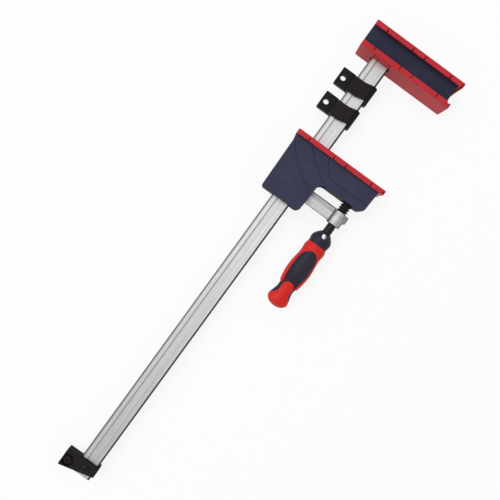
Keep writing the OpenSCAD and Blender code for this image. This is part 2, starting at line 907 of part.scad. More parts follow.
rail();
fixed_jaw_core();
fixed_jaw_pins();
fixed_jaw_front_shell();
fixed_jaw_back_shell();
fixed_jaw_clamp_pad();
fixed_jaw_outer_pad();
end_stop();
end_stop_pin();
upper_rail_support();
lower_rail_support();
slide_arm();
brake_spring();
moving_jaw_core();
moving_jaw_front_shell();
moving_jaw_back_shell();
moving_jaw_pad();
moving_jaw_screws();
upper_guide_shoes();
lower_guide_shoes();
thrust_cup();
spindle_bush();
spindle();
retaining_clip();
handle_core();
grip_sleeve();
tail_cap();
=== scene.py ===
import math

import bmesh
import bpy
import numpy as np
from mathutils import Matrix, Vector
from mathutils.geometry import delaunay_2d_cdt


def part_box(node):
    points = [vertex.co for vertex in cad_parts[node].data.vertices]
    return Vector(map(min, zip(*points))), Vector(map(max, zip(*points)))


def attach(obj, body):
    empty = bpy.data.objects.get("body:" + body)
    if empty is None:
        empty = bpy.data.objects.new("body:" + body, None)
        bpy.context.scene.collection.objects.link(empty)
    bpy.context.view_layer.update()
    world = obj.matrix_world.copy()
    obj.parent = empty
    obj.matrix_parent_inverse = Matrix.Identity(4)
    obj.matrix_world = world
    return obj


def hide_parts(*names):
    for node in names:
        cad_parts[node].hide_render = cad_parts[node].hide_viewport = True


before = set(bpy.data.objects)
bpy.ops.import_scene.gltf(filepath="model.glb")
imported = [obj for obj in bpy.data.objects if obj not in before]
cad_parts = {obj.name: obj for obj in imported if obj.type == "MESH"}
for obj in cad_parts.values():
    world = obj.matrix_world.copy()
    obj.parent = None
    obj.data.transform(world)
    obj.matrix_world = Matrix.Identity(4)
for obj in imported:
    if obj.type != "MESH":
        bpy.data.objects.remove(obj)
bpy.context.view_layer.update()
scene = bpy.context.scene
mm = 0.001

# pieces are drawn in millimetres from the rail's centre line, a clamping face and the middle plane
railLow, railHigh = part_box("rail")
railX = (railLow[0] + railHigh[0]) / 2
midZ = (railLow[2] + railHigh[2]) / 2
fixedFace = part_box("fixed_jaw_clamp_pad")[0][1]
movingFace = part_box("moving_jaw_pad")[1][1]


class Sizes(dict):
    # a piece's dictionary, whose values also read as sizes.name
    __getattr__ = dict.__getitem__


# points, lines and outlines

def columns(*values):
    # numbers and arrays side by side, as the coordinates of points
    return np.stack(np.broadcast_arrays(*values), -1)


def lifted(flat, z):
    # flat points at one height, or each at its own
    return columns(flat[..., 0], flat[..., 1], z)


def closedLine(loop):
    # an outline with its first point again at its end
    return np.concatenate([loop, loop[:1]])


def doubled(places, gap=0.001):
    # two stations close together at each place, for a step in the section
    return np.add.outer(places, (-gap, gap)).ravel()


def eased(value, start, end):
    # 0 before start, 1 after end, a smooth step between
    t = np.clip((value - start) / (end - start), 0, 1)
    return t * t * (3 - 2 * t)


def turnIn(toEnd, radius):
    # how far a quarter round of this radius has drawn in, by the distance to the end
    left = np.clip(radius - toEnd, 0, radius)
    return radius - np.sqrt(radius ** 2 - left ** 2)


def arc(centre, radius, start, end, steps):
    # points on a circle between two angles in degrees
    a = np.radians(np.linspace(start, end, steps))
    return columns(centre[0] + radius * np.cos(a), centre[1] + radius * np.sin(a))


def circle(centre, radius, steps=32):
    # a full turn of points, without the one that would repeat the first
    return arc(centre, radius, 0, 360, steps + 1)[:-1]


def roundedLoop(corners, radii, steps=9):
    # closed outline through the corners, each turned on an arc that touches both of its sides
    c = np.asarray(corners, float)
    loop = []
    for before, at, after, radius in zip(np.roll(c, 1, 0), c, np.roll(c, -1, 0), radii):
        if radius <= 0:
            loop.append(at[None])
            continue
        u = (before - at) / np.linalg.norm(before - at)
        v = (after - at) / np.linalg.norm(after - at)
        half = math.acos(max(-1, min(1, u @ v))) / 2
        centre = at + (u + v) / np.linalg.norm(u + v) * radius / math.sin(half)
        arm = at + u * radius / math.tan(half) - centre
        end = at + v * radius / math.tan(half) - centre
        angle = math.atan2(arm[0] * end[1] - arm[1] * end[0], arm @ end)
        swing = np.linspace(0, angle, steps)[:, None]
        loop.append(centre + arm * np.cos(swing) + np.array([-arm[1], arm[0]]) * np.sin(swing))
    return np.concatenate(loop)


def rectangle(low, high, radii, steps):
    # anticlockwise from the lowest corner, with one radius or four
    corners = [low, (high[0], low[1]), high, (low[0], high[1])]
    return roundedLoop(corners, np.broadcast_to(radii, 4), steps)


def offsetLoop(loop, distance):
    # each point of an anticlockwise outline goes out along the mitre of its two sides, in for a minus
    side = np.roll(loop, -1, 0) - loop
    side = side / np.linalg.norm(side, axis=1, keepdims=True)
    normal = columns(side[:, 1], -side[:, 0])
    mitre = normal + np.roll(normal, 1, 0)
    return loop + distance * mitre / np.sum(mitre * normal, 1, keepdims=True)


def between(outer, inner, shares):
    # rings that pass from one outline to another of as many points, by shares
    t = np.asarray(shares)[None, :, None]
    return outer[:, None] * (1 - t) + inner[:, None] * t


def smoothLine(points, steps=14):
    # cubic runs through the points, whose slope at each is half the step between its neighbours
    p = np.asarray(points, float)
    p = np.concatenate([2 * p[:1] - p[1:2], p, 2 * p[-1:] - p[-2:-1]])
    t = np.linspace(0, 1, steps, endpoint=False)[None, :, None]
    a, b, c, d = p[:-3, None], p[1:-2, None], p[2:-1, None], p[3:, None]
    square, cube = 2 * a - 5 * b + 4 * c - d, 3 * b - a - 3 * c + d
    curve = 0.5 * (2 * b + (c - a) * t + square * t ** 2 + cube * t ** 3)
    return np.concatenate([curve.reshape(-1, 2), p[-2:-1]])


def evenly(line, samples):
    # points at equal distances along a line
    run = np.concatenate([[0], np.cumsum(np.linalg.norm(np.diff(line, axis=0), axis=1))])
    t = np.linspace(0, run[-1], samples)
    return columns(*[np.interp(t, run, axis) for axis in line.T])


def besideLine(line, distances):
    # a line's points moved to its left by each of the distances
    way = np.gradient(line, axis=0)
    left = columns(-way[:, 1], way[:, 0]) / np.linalg.norm(way, axis=1, keepdims=True)
    return (line + np.reshape(distances, (-1, 1, 1)) * left).reshape(-1, 2)


def isInside(points, loop):
    # odd number of outline crossings to the right of a point
    a, b = loop, np.roll(loop, -1, 0)
    x, y = points[:, :1], points[:, 1:]
    rise = np.where(b[:, 1] == a[:, 1], 1, b[:, 1] - a[:, 1])
    crossing = (b[:, 0] - a[:, 0]) * (y - a[:, 1]) / rise + a[:, 0]
    return (((a[:, 1] > y) != (b[:, 1] > y)) & (x < crossing)).sum(1) % 2 == 1


def within(points, loops):
    # inside the first outline and outside the others
    keep = isInside(points, loops[0])
    for loop in loops[1:]:
        keep &= ~isInside(points, loop)
    return keep


def wayTo(points, line):
    # shortest distance from each point to an open line of straight runs, and how far along it that is
    a, b = line[:-1], line[1:]
    run = b - a
    t = np.clip(((points[:, None] - a) * run).sum(2) / (run * run).sum(1), 0, 1)
    gap = np.linalg.norm(points[:, None] - a - t[..., None] * run, axis=2)
    nearest = gap.argmin(1)
    rows = np.arange(len(points))
    return gap[rows, nearest], (nearest + t[rows, nearest]) / len(a)


def gapTo(points, lines):
    # distance from each point to the nearest of the lines
    return np.min([wayTo(points, line)[0] for line in lines], 0)


# ways of making a surface, each as points and faces

def quadGrid(rows, cols, wrapRows=False, wrapCols=False):
    # every cell of a grid as four point numbers; a wrapped side joins its last line to its first
    i, j = np.meshgrid(np.arange(rows - (not wrapRows)), np.arange(cols - (not wrapCols)), indexing="ij")
    i, j = i.ravel(), j.ravel()
    nextI, nextJ = (i + 1) % rows, (j + 1) % cols
    return columns(i * cols + j, nextI * cols + j, nextI * cols + nextJ, i * cols + nextJ)


def surface(points, wrapRows=False, wrapCols=False, caps=False):
    # points[row, column] holds places; caps closes the first and the last row with a flat face each
    rows, cols = points.shape[:2]
    faces = quadGrid(rows, cols, wrapRows, wrapCols).tolist()
    if caps:
        faces += [list(range(cols)), list(range((rows - 1) * cols, rows * cols))]
    return points.reshape(-1, 3), faces


def joined(*parts):
    # several surfaces as one: all points in a row, the point numbers of the faces shifted along
    points, faces, start = [], [], 0
    for partPoints, partFaces in parts:
        points.append(partPoints)
        faces += [[k + start for k in face] for face in partFaces]
        start += len(partPoints)
    return np.concatenate(points), faces


def moved(part, offset=(0, 0, 0), flip=(1, 1, 1)):
    # points times flip, then carried by offset
    return part[0] * np.array(flip, float) + np.array(offset, float), part[1]


def turned(axisX, radii, heights, steps=72, wrapCols=False):
    # radii at heights carried round an axis along y; the radii may differ from step to step
    a = np.linspace(-np.pi, np.pi, steps + 1)[:-1, None]
    return surface(columns(axisX + radii * np.cos(a), heights, radii * np.sin(a)), True, wrapCols)


def patch(loops, extra=()):
    # triangles inside the first outline and outside the others, through the extra points too
    points = np.concatenate([*loops, np.reshape(extra, (-1, 2))])
    edges, start = [], 0
    for loop in loops:
        k = np.arange(len(loop)) + start
        edges += columns(k, np.roll(k, -1)).tolist()
        start += len(loop)
    made = delaunay_2d_cdt([Vector(p) for p in points], edges, [], 0, 1e-6)
    spots, triangles = np.array([tuple(v) for v in made[0]]), np.array(made[2])
    return spots, triangles[within(spots[triangles].mean(1), loops)].tolist()


def flatPatch(loops, z):
    # a patch at one height
    flat, faces = patch(loops)
    return lifted(flat, z), faces


def fillPoints(loops, step, margin):
    # square grid of points between the outlines, kept a margin away from each of them
    low, high = loops[0].min(0), loops[0].max(0)
    x, y = np.meshgrid(np.arange(low[0], high[0], step), np.arange(low[1], high[1], step))
    spots = columns(x.ravel(), y.ravel())
    return spots[within(spots, loops) & (gapTo(spots, map(closedLine, loops)) > margin)]


def rim(loop, profile):
    # profile of (inset, z) carried round a closed outline
    rings = [lifted(offsetLoop(loop, -inset), z) for inset, z in profile]
    return surface(np.stack(rings, 1), wrapRows=True)


def edgeProfile(low, high, edge, steps=5):
    # (inset, z) from the lower face, round its edge, up the wall and round the upper edge
    a = np.radians(np.linspace(0, 90, steps))
    inset = edge * (1 - np.cos(a))
    lower = columns(inset, low + edge - edge * np.sin(a))
    upper = columns(inset, high - edge + edge * np.sin(a))
    return np.concatenate([lower[::-1], upper])


def plate(outline, holes, low, high, edge):
    # flat plate with a rounded edge all round and round-edged holes; every outline runs anticlockwise
    profile = edgeProfile(low, high, edge)
    loops = [offsetLoop(outline, -edge)] + [offsetLoop(hole, edge) for hole in holes]
    walls = [rim(outline, profile)] + [rim(hole, profile * [-1, 1]) for hole in holes]
    return joined(*walls, flatPatch(loops, low), flatPatch(loops, high))


def bar(section, start, end, edge=0.5, order=(0, 1, 2)):
    # closed section carried along a straight run, its ends drawn in
    # order puts (along, first, second) into x, y, z
    shares = ((0, 1), (0.3, 0.3), (1, 0))      # along the end's edge and drawn in, as shares of it
    stops = [(start + edge * along, edge * inset) for along, inset in shares]
    stops += [(end - edge * along, edge * inset) for along, inset in shares[::-1]]
    rings = [columns(at, *offsetLoop(section, -inset).T)[:, order] for at, inset in stops]
    return surface(np.stack(rings), wrapCols=True, caps=True)


def makePiece(name, part, faceY, body, material, stands, sharpAt=40, stitch=4e-6, speck=1e-6):
    # metres from the piece's datum, patches stitched, normals outward, edges above an angle kept sharp
    points, faces = part
    mesh = bpy.data.meshes.new(name)
    mesh.from_pydata((points * mm + np.array([railX, faceY, midZ])).tolist(), [], faces)
    work = bmesh.new()
    work.from_mesh(mesh)
    bmesh.ops.remove_doubles(work, verts=work.verts, dist=stitch)
    bmesh.ops.dissolve_degenerate(work, edges=work.edges, dist=speck)
    bmesh.ops.recalc_face_normals(work, faces=work.faces)
    loose = sum(edge.is_boundary for edge in work.edges)
    work.to_mesh(mesh)
    work.free()
    mesh.polygons.foreach_set("use_smooth", np.ones(len(mesh.polygons), bool))
    mesh.set_sharp_from_angle(angle=math.radians(sharpAt))
    mesh.materials.append(material)
    piece = bpy.data.objects.new(name, mesh)
    scene.collection.objects.link(piece)
    weighted = piece.modifiers.new("weightedNormal", "WEIGHTED_NORMAL")
    weighted.keep_sharp = True
    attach(piece, body)
    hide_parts(*stands)
    print("piece", name, len(mesh.polygons), "faces", loose, "open edges")


# finishes

def seen(red, green, blue):
    # a colour as a screen shows it, 0 to 255, in the linear values that shaders take
    c = np.array([red, green, blue]) / 255
    return (*np.where(c <= 0.04045, c / 12.92, ((c + 0.055) / 1.055) ** 2.4), 1.0)


def grey(tone):
    # the same tone in all three channels
    return seen(tone, tone, tone)


def tinted(colour, share, lift=0.0):
    # a colour times a share, plus a little light, no channel above 1
    return (*np.minimum(np.array(colour[:3]) * share + lift, 1), 1)


def feed(tree, socket, value):
    # a socket takes a link from another one, or a plain value
    if isinstance(value, bpy.types.NodeSocket):
        tree.links.new(value, socket)
    else:
        socket.default_value = value


def addNode(tree, kind, inputs=(), **settings):
    # a shader node with its settings, then its inputs by name or number
    made = tree.nodes.new("ShaderNode" + kind)
    for key, value in settings.items():
        setattr(made, key, value)
    for key, value in dict(inputs).items():
        feed(tree, made.inputs[key], value)
    return made


class Finish:
    # a material whose patterns lie on the object's own coordinates, straight or stretched
    def __init__(self, name, stretch=(1, 1, 1)):
        self.material = bpy.data.materials.new(name)
        self.material.use_nodes = True
        self.tree = self.material.node_tree
        self.shader = next(n for n in self.tree.nodes if n.type == "BSDF_PRINCIPLED")
        self.straight = self.node("TexCoord").outputs["Object"]
        self.place = self.node("Mapping", {"Vector": self.straight, "Scale": stretch}).outputs["Vector"]

    def node(self, kind, inputs=(), **settings):
        return addNode(self.tree, kind, inputs, **settings)

    def shade(self, inputs):
        for key, value in inputs.items():
            feed(self.tree, self.shader.inputs[key], value)

    def noise(self, scale, detail=3.0, rough=0.5):
        inputs = {"Vector": self.place, "Scale": scale, "Detail": detail, "Roughness": rough}
        return self.node("TexNoise", inputs).outputs["Fac"]

    def cells(self, scale):
        return self.node("TexVoronoi", {"Vector": self.straight, "Scale": scale}).outputs

    def ramp(self, value, stops):
        made = self.node("ValToRGB", {"Fac": value})
        row = made.color_ramp.elements
        row[0].position, row[0].color = stops[0]
        row[1].position, row[1].color = stops[-1]
        for position, colour in stops[1:-1]:
            row.new(position).color = colour
        return made.outputs["Color"]

    def spread(self, value, low, high, fromLow=0.3, fromHigh=0.7):
        limits = {"From Min": fromLow, "From Max": fromHigh, "To Min": low, "To Max": high}
        return self.node("MapRange", {"Value": value, **limits}).outputs["Result"]

    def added(self, a, b):
        return self.node("Math", {0: a, 1: b}, operation="ADD").outputs["Value"]

    def blended(self, fac, a, b, kind="MIX"):
        return self.node("Mix", {0: fac, 6: a, 7: b}, data_type="RGBA", blend_type=kind).outputs[2]

    def times(self, a, b):
        return self.blended(1.0, a, b, "MULTIPLY")

    def bumped(self, value, distance, strength=1.0):
        made = self.node("Bump", {"Height": value, "Distance": distance, "Strength": strength})
        self.shade({"Normal": made.outputs["Normal"]})

    def acrossFrom(self, axis, zero):
        # distance from a plane across one axis, in metres
        split = self.node("SeparateXYZ", {"Vector": self.straight})
        return self.node("Math", {0: split.outputs[axis], 1: zero}, operation="SUBTRACT").outputs[0]

    def banded(self, axis, zero, bands):
        # grey tones, 0 to 255, by distance in millimetres from a plane
        low, high = bands[0][0], bands[-1][0]
        share = self.spread(self.acrossFrom(axis, zero), 0, 1, low * mm, high * mm)
        return self.ramp(share, [((at - low) / (high - low), grey(tone)) for at, tone in bands])


def mouldedPlastic(name, colour, gloss=0.42, grain=0.00005, scuff=0.1, specular=0.1, cloudy=0.12, bands=None):
    # spark-eroded mould grain, cloudy tint and faint handling scuffs; the bands are painted shade on walls,
    # in creases and in recesses
    f = Finish(name)
    cloud = [(0.3, tinted(colour, 1 - cloudy)), (0.55, colour), (0.75, tinted(colour, 1 + cloudy, 0.002))]
    tone = f.ramp(f.noise(38, 4), cloud)
    fine = f.noise(1400, 2)
    wear = f.added(fine, f.noise(90, 6, 0.65))
    f.shade({"Base Color": f.times(tone, f.banded(*bands)) if bands else tone,
             "Roughness": f.spread(wear, gloss - scuff, gloss + scuff, 0.75, 1.25),
             "Specular IOR Level": specular})
    f.bumped(fine, grain)
    return f.material


def softGrip(name, colour):
    # rubbery overmould: close matt grain with a little sheen
    f = Finish(name)
    f.shade({"Base Color": f.ramp(f.noise(60, 4), [(0.3, tinted(colour, 0.9)), (0.7, tinted(colour, 1.08))]),
             "Roughness": f.spread(f.noise(240, 4), 0.42, 0.6), "Specular IOR Level": 0.2})
    f.bumped(f.cells(1500)["Distance"], 0.00005, 0.8)
    return f.material


def galvanisedSteel(name, pale, dark, along):
    # zinc coat: faint spangle under draw lines that run along the bar
    f = Finish(name, along)
    lines = f.noise(900, 5, 0.6)
    streak = f.added(f.spread(lines, 0.0, 0.5), f.spread(f.noise(140, 3), 0.0, 0.4))
    flake = f.node("SeparateColor", {"Color": f.cells(240)["Color"]}).outputs["Red"]
    mottled = f.added(streak, f.spread(flake, -0.06, 0.1, 0, 1))
    f.tone = f.ramp(mottled, [(0.05, dark), (0.95, pale)])
    f.shade({"Roughness": f.spread(mottled, 0.56, 0.42, 0.1, 0.9), "Metallic": 0.45})
    f.bumped(lines, 0.00003, 0.5)
    return f


def railFinish(name, pale, dark, across, along, narrow):
    # painted shade on the rolled edges and beside the channel, painted highlight lines on the faces, the
    # narrow sides plain, painted shade towards the far end
    f = galvanisedSteel(name, pale, dark, (1, 0.02, 1))
    tones = f.blended(f.banded("Z", midZ, narrow), f.banded("X", railX, across), grey(225))
    f.shade({"Base Color": f.times(f.tone, f.times(tones, f.banded("Y", fixedFace, along)))})
    return f.material


def armFinish(name, pale, dark, barShading, bossShading, bossFrom):
    # painted shade along the bar's upper ridge and top edge, painted shade and highlight round the boss
    f = galvanisedSteel(name, pale, dark, (0.06, 1, 1))
    share = f.spread(f.acrossFrom("X", railX), 0, 1, *[at * mm for at in bossFrom])
    tones = f.blended(share, f.banded("Y", movingFace, barShading), f.banded("X", railX, bossShading))
    f.shade({"Base Color": f.times(f.tone, tones)})
    return f.material


def plainMetal(name, pale, dark, rough, size, metallic=1.0, specular=0.5):
    # turned or cast metal: tone, roughness and a light surface texture from one noise
    f = Finish(name)
    marks = f.noise(size, 5, 0.6)
    f.shade({"Base Color": f.ramp(marks, [(0.3, dark), (0.7, pale)]),
             "Roughness": f.spread(marks, rough + 0.1, rough - 0.08),
             "Metallic": metallic, "Specular IOR Level": specular})
    f.bumped(marks, 0.00003, 0.7)
    return f.material


# tones of the bands, as (millimetres, 0 to 255)
# painted shade on the moving jaw shells' walls, between the faces' rounded edges
shellSideShade = ("Z", midZ, ((-14.5, 255), (-13.9, 255), (-13.2, 140), (13.2, 140), (13.9, 255), (14.5, 255)))
# painted shade on the supports' ear, in the creases beside the sleeve and on the rounded side
clipCreaseShade = ("X", railX, ((-37.0, 235), (-19.4, 235), (-18.5, 120), (-17.3, 120), (-16.4, 255), (10.8, 255),
                            (11.8, 110), (12.8, 110), (13.6, 220), (18.5, 190)))
# painted shade on the end stop by depth: darker behind the front face, lighter on the dish floor
stopRecessShade = ("Z", midZ, ((-6.5, 170), (5.2, 170), (5.7, 235), (6.1, 190), (7.6, 200), (8.4, 255)))
# painted shade on the rail's rolled edges and channel wall, painted highlight lines beside them
railShadeAcross = ((-14.5, 90), (-13.2, 140), (-12.2, 165), (-11.2, 250), (-7.0, 255), (-6.2, 194), (-5.2, 200),
              (-4.2, 245), (3.6, 246), (4.6, 224), (6.3, 220), (7.4, 242), (9.6, 246), (10.4, 255),
              (11.2, 250), (12.2, 88), (13.4, 52), (14.5, 70))
# painted shade towards the rail's far end
railShadeAlong = ((-640, 232), (-330, 255), (32, 250))
# narrow sides, which take none of the painted shade across the rail
railNarrow = ((-4.5, 0), (-2.4, 0), (-1.7, 255), (1.7, 255), (2.4, 0), (4.5, 0))
# painted shade on the arm bar's upper ridge and its top edge
armBarShade = ((-75.8, 225), (-75.0, 248), (-69.6, 250), (-68.6, 228), (-67.4, 248), (-64.9, 255), (-64.2, 255),
            (-63.6, 214), (-58.2, 222), (-57.7, 190), (-57.2, 62), (-56.2, 55))
# painted shade on the boss's left flank, painted highlight across its middle
armBossShade = ((68.9, 70), (70.2, 90), (71.4, 185), (73.0, 226), (77.0, 230), (81.0, 224), (83.5, 198),
             (85.5, 214), (88.0, 182), (90.0, 150), (92.6, 200))

jawNavy = mouldedPlastic("jawNavyMoulding", seen(60, 61, 82), gloss=0.55, specular=0.05, bands=shellSideShade)
webNavy = mouldedPlastic("webNavyMoulding", seen(43, 44, 63), gloss=0.5)
padRed = mouldedPlastic("padRedMoulding", seen(189, 50, 57), gloss=0.24, grain=0.000004, scuff=0.05,
                        specular=0.07, cloudy=0.05)
supportBlack = mouldedPlastic("supportBlackMoulding", seen(29, 25, 24), gloss=0.46, bands=clipCreaseShade)
stopBlack = mouldedPlastic("stopBlackMoulding", seen(29, 25, 24), gloss=0.46, bands=stopRecessShade)
pinBlack = mouldedPlastic("pinBlackMoulding", seen(16, 14, 13), gloss=0.14, grain=0.000004, scuff=0.03,
                          specular=0.16)
handleNavy = mouldedPlastic("handleNavyMoulding", seen(40, 38, 52), gloss=0.44, grain=0.00003, specular=0.15)
gripRed = softGrip("gripRedOvermould", seen(213, 38, 30))
shoeWhite = mouldedPlastic("shoeAcetal", seen(224, 222, 214), gloss=0.4)
railZinc = railFinish("railZinc", seen(224, 225, 224), seen(197, 198, 197), railShadeAcross, railShadeAlong, railNarrow)
armZinc = armFinish("armZinc", grey(220), seen(172, 172, 173), armBarShade, armBossShade, (68.6, 69.2))
blackOxide = plainMetal("spindleBlackOxide", seen(42, 38, 34), seen(22, 20, 18), 0.46, 700, 0.1, 0.15)
brightSteel = plainMetal("brightSteel", seen(214, 212, 208), seen(168, 166, 162), 0.3, 1500)
bronze = plainMetal("sinteredBronze", seen(196, 150, 92), seen(142, 104, 62), 0.42, 1100)
castCore = plainMetal("castCore", seen(186, 188, 190), seen(132, 134, 136), 0.5, 500)
print("finishes:", len(bpy.data.materials))


# rail: a rounded section with a shallow, slope-sided channel in both faces, carried along y

railShape = Sizes(half=14.5, thick=4.5, edge=2.5, lip=6.7, bed=4.4, deep=0.6, bend=0.4,
                  foot=-723.8, top=32.3, endEdge=0.3)


def railSurface(s):
    # one face's corners mirrored across, then turned to the other face, rounded and carried along y
    face = [(s.half, s.thick), (s.lip, s.thick), (s.bed, s.thick - s.deep)]
    face += [(-x, z) for x, z in face[::-1]]
    section = roundedLoop(face + [(-x, -z) for x, z in face], [s.edge, *[s.bend] * 4, s.edge] * 2)
    return bar(section, s.foot, s.top, s.endEdge, (1, 0, 2))


makePiece("railBar", railSurface(railShape), fixedFace, "bar_frame", railZinc, ["rail"])


# jaw pads: a channel section carried along the jaw, its lips notched, its ends rounded both ways

padShape = Sizes(back=-37.0, tip=109.5, half=20.0, height=7.2, plate=3.6, lip=2.8, edge=1.1, lipEdge=0.5,
                 cornerR=3.0, endEdge=0.45, endDrop=1.4, notches=(-17.3, 24.9, 44.5, 86.7, 106.3),
                 notchWide=1.6, notchDeep=4.6, railX=15.5, railZ=5.5, closedFrom=103.6, tipLip=(5.2, 6.4),
                 jawDeep=39.0)


def padSurface(s, railHole=True, lowTip=False, cutTip=False):
    # each point of the section is a share of width, lip and floor plus a fixed part, at stations along x
    ends = s.cornerR * (1 - np.cos(np.linspace(0, np.pi / 2, 9)))
    cuts = doubled([n + side * s.notchWide / 2 for n in s.notches for side in (-1, 1)] + [s.closedFrom])
    x = np.unique(np.concatenate([s.back + ends, s.tip - ends, cuts, [-s.railX, s.railX]]))
    toEnd = np.minimum(x - s.back, s.tip - x)
    wide = s.half - turnIn(toEnd, s.cornerR)
    solid = x > s.closedFrom      # no channel between the shell's end and the tip
    tipHigh = np.where(x > s.notches[-1], s.tipLip[1], s.tipLip[0])
    lipHigh = np.where(lowTip & solid, tipHigh, s.height) - turnIn(toEnd, s.endDrop)
    inNotch = (np.abs(x[:, None] - np.array(s.notches)) < s.notchWide / 2).any(1)
    high = np.where(inNotch, s.height - s.notchDeep, lipHigh)
    floor = np.where(solid & ~(cutTip & inNotch), lipHigh - s.lipEdge, s.plate)
    inset = turnIn(toEnd, s.endEdge)[:, None]

    def corner(start, end, count, byHigh, z, y, r):
        # points of a round edge, each with its way outward
        a = np.radians(np.linspace(start, end, count))
        return columns(1, z + r * np.cos(a), byHigh, 0, y + r * np.sin(a), np.cos(a), np.sin(a))

    # shares of half width, lip height and floor height stand beside the rest of z and y and the way outward
    e, lipE = s.edge, s.lipEdge
    side = np.concatenate([
        [[0, s.railZ, 0, 0, 0, 0, -1]],
        corner(-90, 0, 6, 0, -e, e, e),
        corner(0, 90, 4, 1, -lipE, -lipE, lipE),
        corner(90, 180, 4, 1, lipE - s.lip, -lipE, lipE),
        [[1, -s.lip, 0, 1, 0, -1, 1], [0, s.railZ, 0, 1, 0, 0, 1]]])
    loop = np.concatenate([side, side[::-1] * [-1, -1, 1, 1, 1, -1, 1]])
    byWide, restZ, byHigh, byFloor, restY, outZ, outY = loop.T
    z = byWide * wide[:, None] + restZ - inset * outZ
    y = byHigh * high[:, None] + byFloor * floor[:, None] + restY - inset * outY
    points, faces = surface(columns(x[:, None], y, z), wrapCols=True, caps=True)
    if not railHole:
        return points, faces
    # opening for the rail: the middle strips go, and four walls join face and underside
    under, cols = len(side) - 1, len(loop)
    first, last = np.searchsorted(x, [-s.railX, s.railX])
    quads = np.array(faces[:-2])
    row, col = quads[:, 0] // cols, quads[:, 0] % cols
    inHole = (row >= first) & (row < last) & ((col == cols - 1) | (col == under))
    k = np.arange(first, last) * cols
    sides = ((0, under), (cols - 1, under + 1))
    walls = [columns(k + a, k + cols + a, k + cols + b, k + b) for a, b in sides]
    k = np.array([first, last]) * cols
    walls.append(columns(k + cols - 1, k, k + under, k + under + 1))
    return points, quads[~inHole].tolist() + np.concatenate(walls).tolist() + faces[-2:]


outerPad = moved(padSurface(padShape, railHole=False, cutTip=True), (0, padShape.jawDeep, 0), (1, -1, 1))
makePiece("fixedJawClampPad", padSurface(padShape, lowTip=True), fixedFace, "bar_frame", padRed,
          ["fixed_jaw_clamp_pad"])
makePiece("fixedJawOuterPad", outerPad, fixedFace, "bar_frame", padRed, ["fixed_jaw_outer_pad"])
makePiece("movingJawPad", moved(padSurface(padShape), flip=(1, -1, 1)), movingFace, "moving_jaw",
          padRed, ["moving_jaw_pad"])


# fixed jaw shells: half of an I section carried along the jaw, hollow, open to the seam at its middle

webShape = Sizes(back=-36.95, tip=103.5, low=3.7, high=35.3, flange=2.9, flangeHalf=17.1, webHalf=12.5,
                 root=1.6, edge=0.5, endEdge=0.45, wall=3.0, railX=14.8, railZ=4.8)


def webSurface(s):
    # each point of the section is a share of passage and hollow plus a fixed part, at stations along x
    ends = s.endEdge * (1 - np.cos(np.linspace(0, np.pi / 2, 6)))
    steps = doubled([s.back + s.wall, -s.railX, s.railX, s.tip - s.wall])
    x = np.unique(np.concatenate([s.back + ends, s.tip - ends, steps]))[:, None]
    toEnd = np.minimum(x - s.back, s.tip - x)
    inset = turnIn(toEnd, s.endEdge)
    passage = (np.abs(x) < s.railX) * s.railZ
    room = (toEnd > s.wall) * (s.webHalf - s.wall)

    def corner(start, end, z, y, r, outward=1):
        # points of a round edge or root, each with its way outward
        a = np.radians(np.linspace(start, end, 5))
        return columns(0, 0, z + r * np.cos(a), y + r * np.sin(a), outward * np.cos(a), outward * np.sin(a))

    low, high, e, r = s.low, s.high, s.edge, s.root
    top, foot = low + s.flange, high - s.flange
    wide, inner = s.flangeHalf - e, s.webHalf + r
    # shares of the rail passage and the hollow stand beside the rest of z, y and the way outward
    loop = np.concatenate([
        [[1, 0, 0, low, -1, -1]],
        corner(-90, 0, wide, low + e, e), corner(0, 90, wide, top - e, e),
        corner(270, 180, inner, top + r, r, -1), corner(180, 90, inner, foot - r, r, -1),
        corner(-90, 0, wide, foot + e, e), corner(0, 90, wide, high - e, e),
        [[0, 0, 0, high, -1, 1], [0, 0, 0, high - s.wall, -1, 0], [0, 1, 0, high - s.wall, -1, 0],
         [0, 1, 0, low + s.wall, -1, 0], [1, 0, 0, low + s.wall, -1, 0]]])
    byPassage, byRoom, restZ, y, outZ, outY = loop.T
    z = byPassage * passage + byRoom * room + restZ - inset * outZ
    return surface(columns(x, y - inset * outY, z), wrapCols=True, caps=True)


makePiece("fixedJawFrontShell", webSurface(webShape), fixedFace, "bar_frame", webNavy,
          ["fixed_jaw_front_shell"])
makePiece("fixedJawBackShell", moved(webSurface(webShape), flip=(1, 1, -1)), fixedFace, "bar_frame",
          webNavy, ["fixed_jaw_back_shell"])


# moving jaw shells: a rounded rim carried round the housing's outline, closed by a face with relief grooves

housing = Sizes(half=14.5, edge=0.9, wall=2.7, seam=0.3, railX=14.8, railZ=4.8,
                windowX=41.0, windowZ=6.5, windowFoot=-82.8, spindleX=79.5, spindleR=8.9,
                backX=-37.0, tipX=102.7, topY=-3.7, shoulderY=-7.2, beamY=-42.6, footY=-92.4,
                waist=(-35.0, -16.2, 3.0), heel=(-33.7, 2.8), toe=(28.4, 6.0), arch=(30.4, 10.0),
                nose=(101.4, 7.9), runOut=(-33.0, -26.0), grooveWide=1.0, grooveDeep=0.85, grooveEnd=0.06,
                edgeFade=(0.6, 1.2), pocketFade=1.5, gridStep=2.2, gridMargin=1.0, lineMargin=1.6,
                lineReach=1.25, edgeMargin=0.25, pocketMargin=0.3,
                grooves=(((-33.5, -10.5), (-31.4, -16.2), (-22.3, -27.7), (-12.5, -37.5), (-3.3, -45.0),
                          (10, -52.5), (24, -57.5)),
                         ((-10.5, -6.5), (-9.1, -8.0), (7.2, -23.2), (15.8, -29.3), (31.6, -38.4), (38, -41)),
                         ((19.6, -4.5), (20.7, -7.5), (26.2, -18.4), (33, -25.8), (44, -30.6), (70, -30.9),
                          (108, -29.4))),
                flangeX=(-36.9, 102.6), flangeHigh=6.4, flangeHalf=17.1, flangeRoot=3.0, flangeR=0.6,
                flangeEdge=0.4, screws=((-28.4, -13.4), (-28.4, -75.8), (43.15, -20.2), (96.2, -13.4)),
                screwR=3.28, screwDeep=2.6)


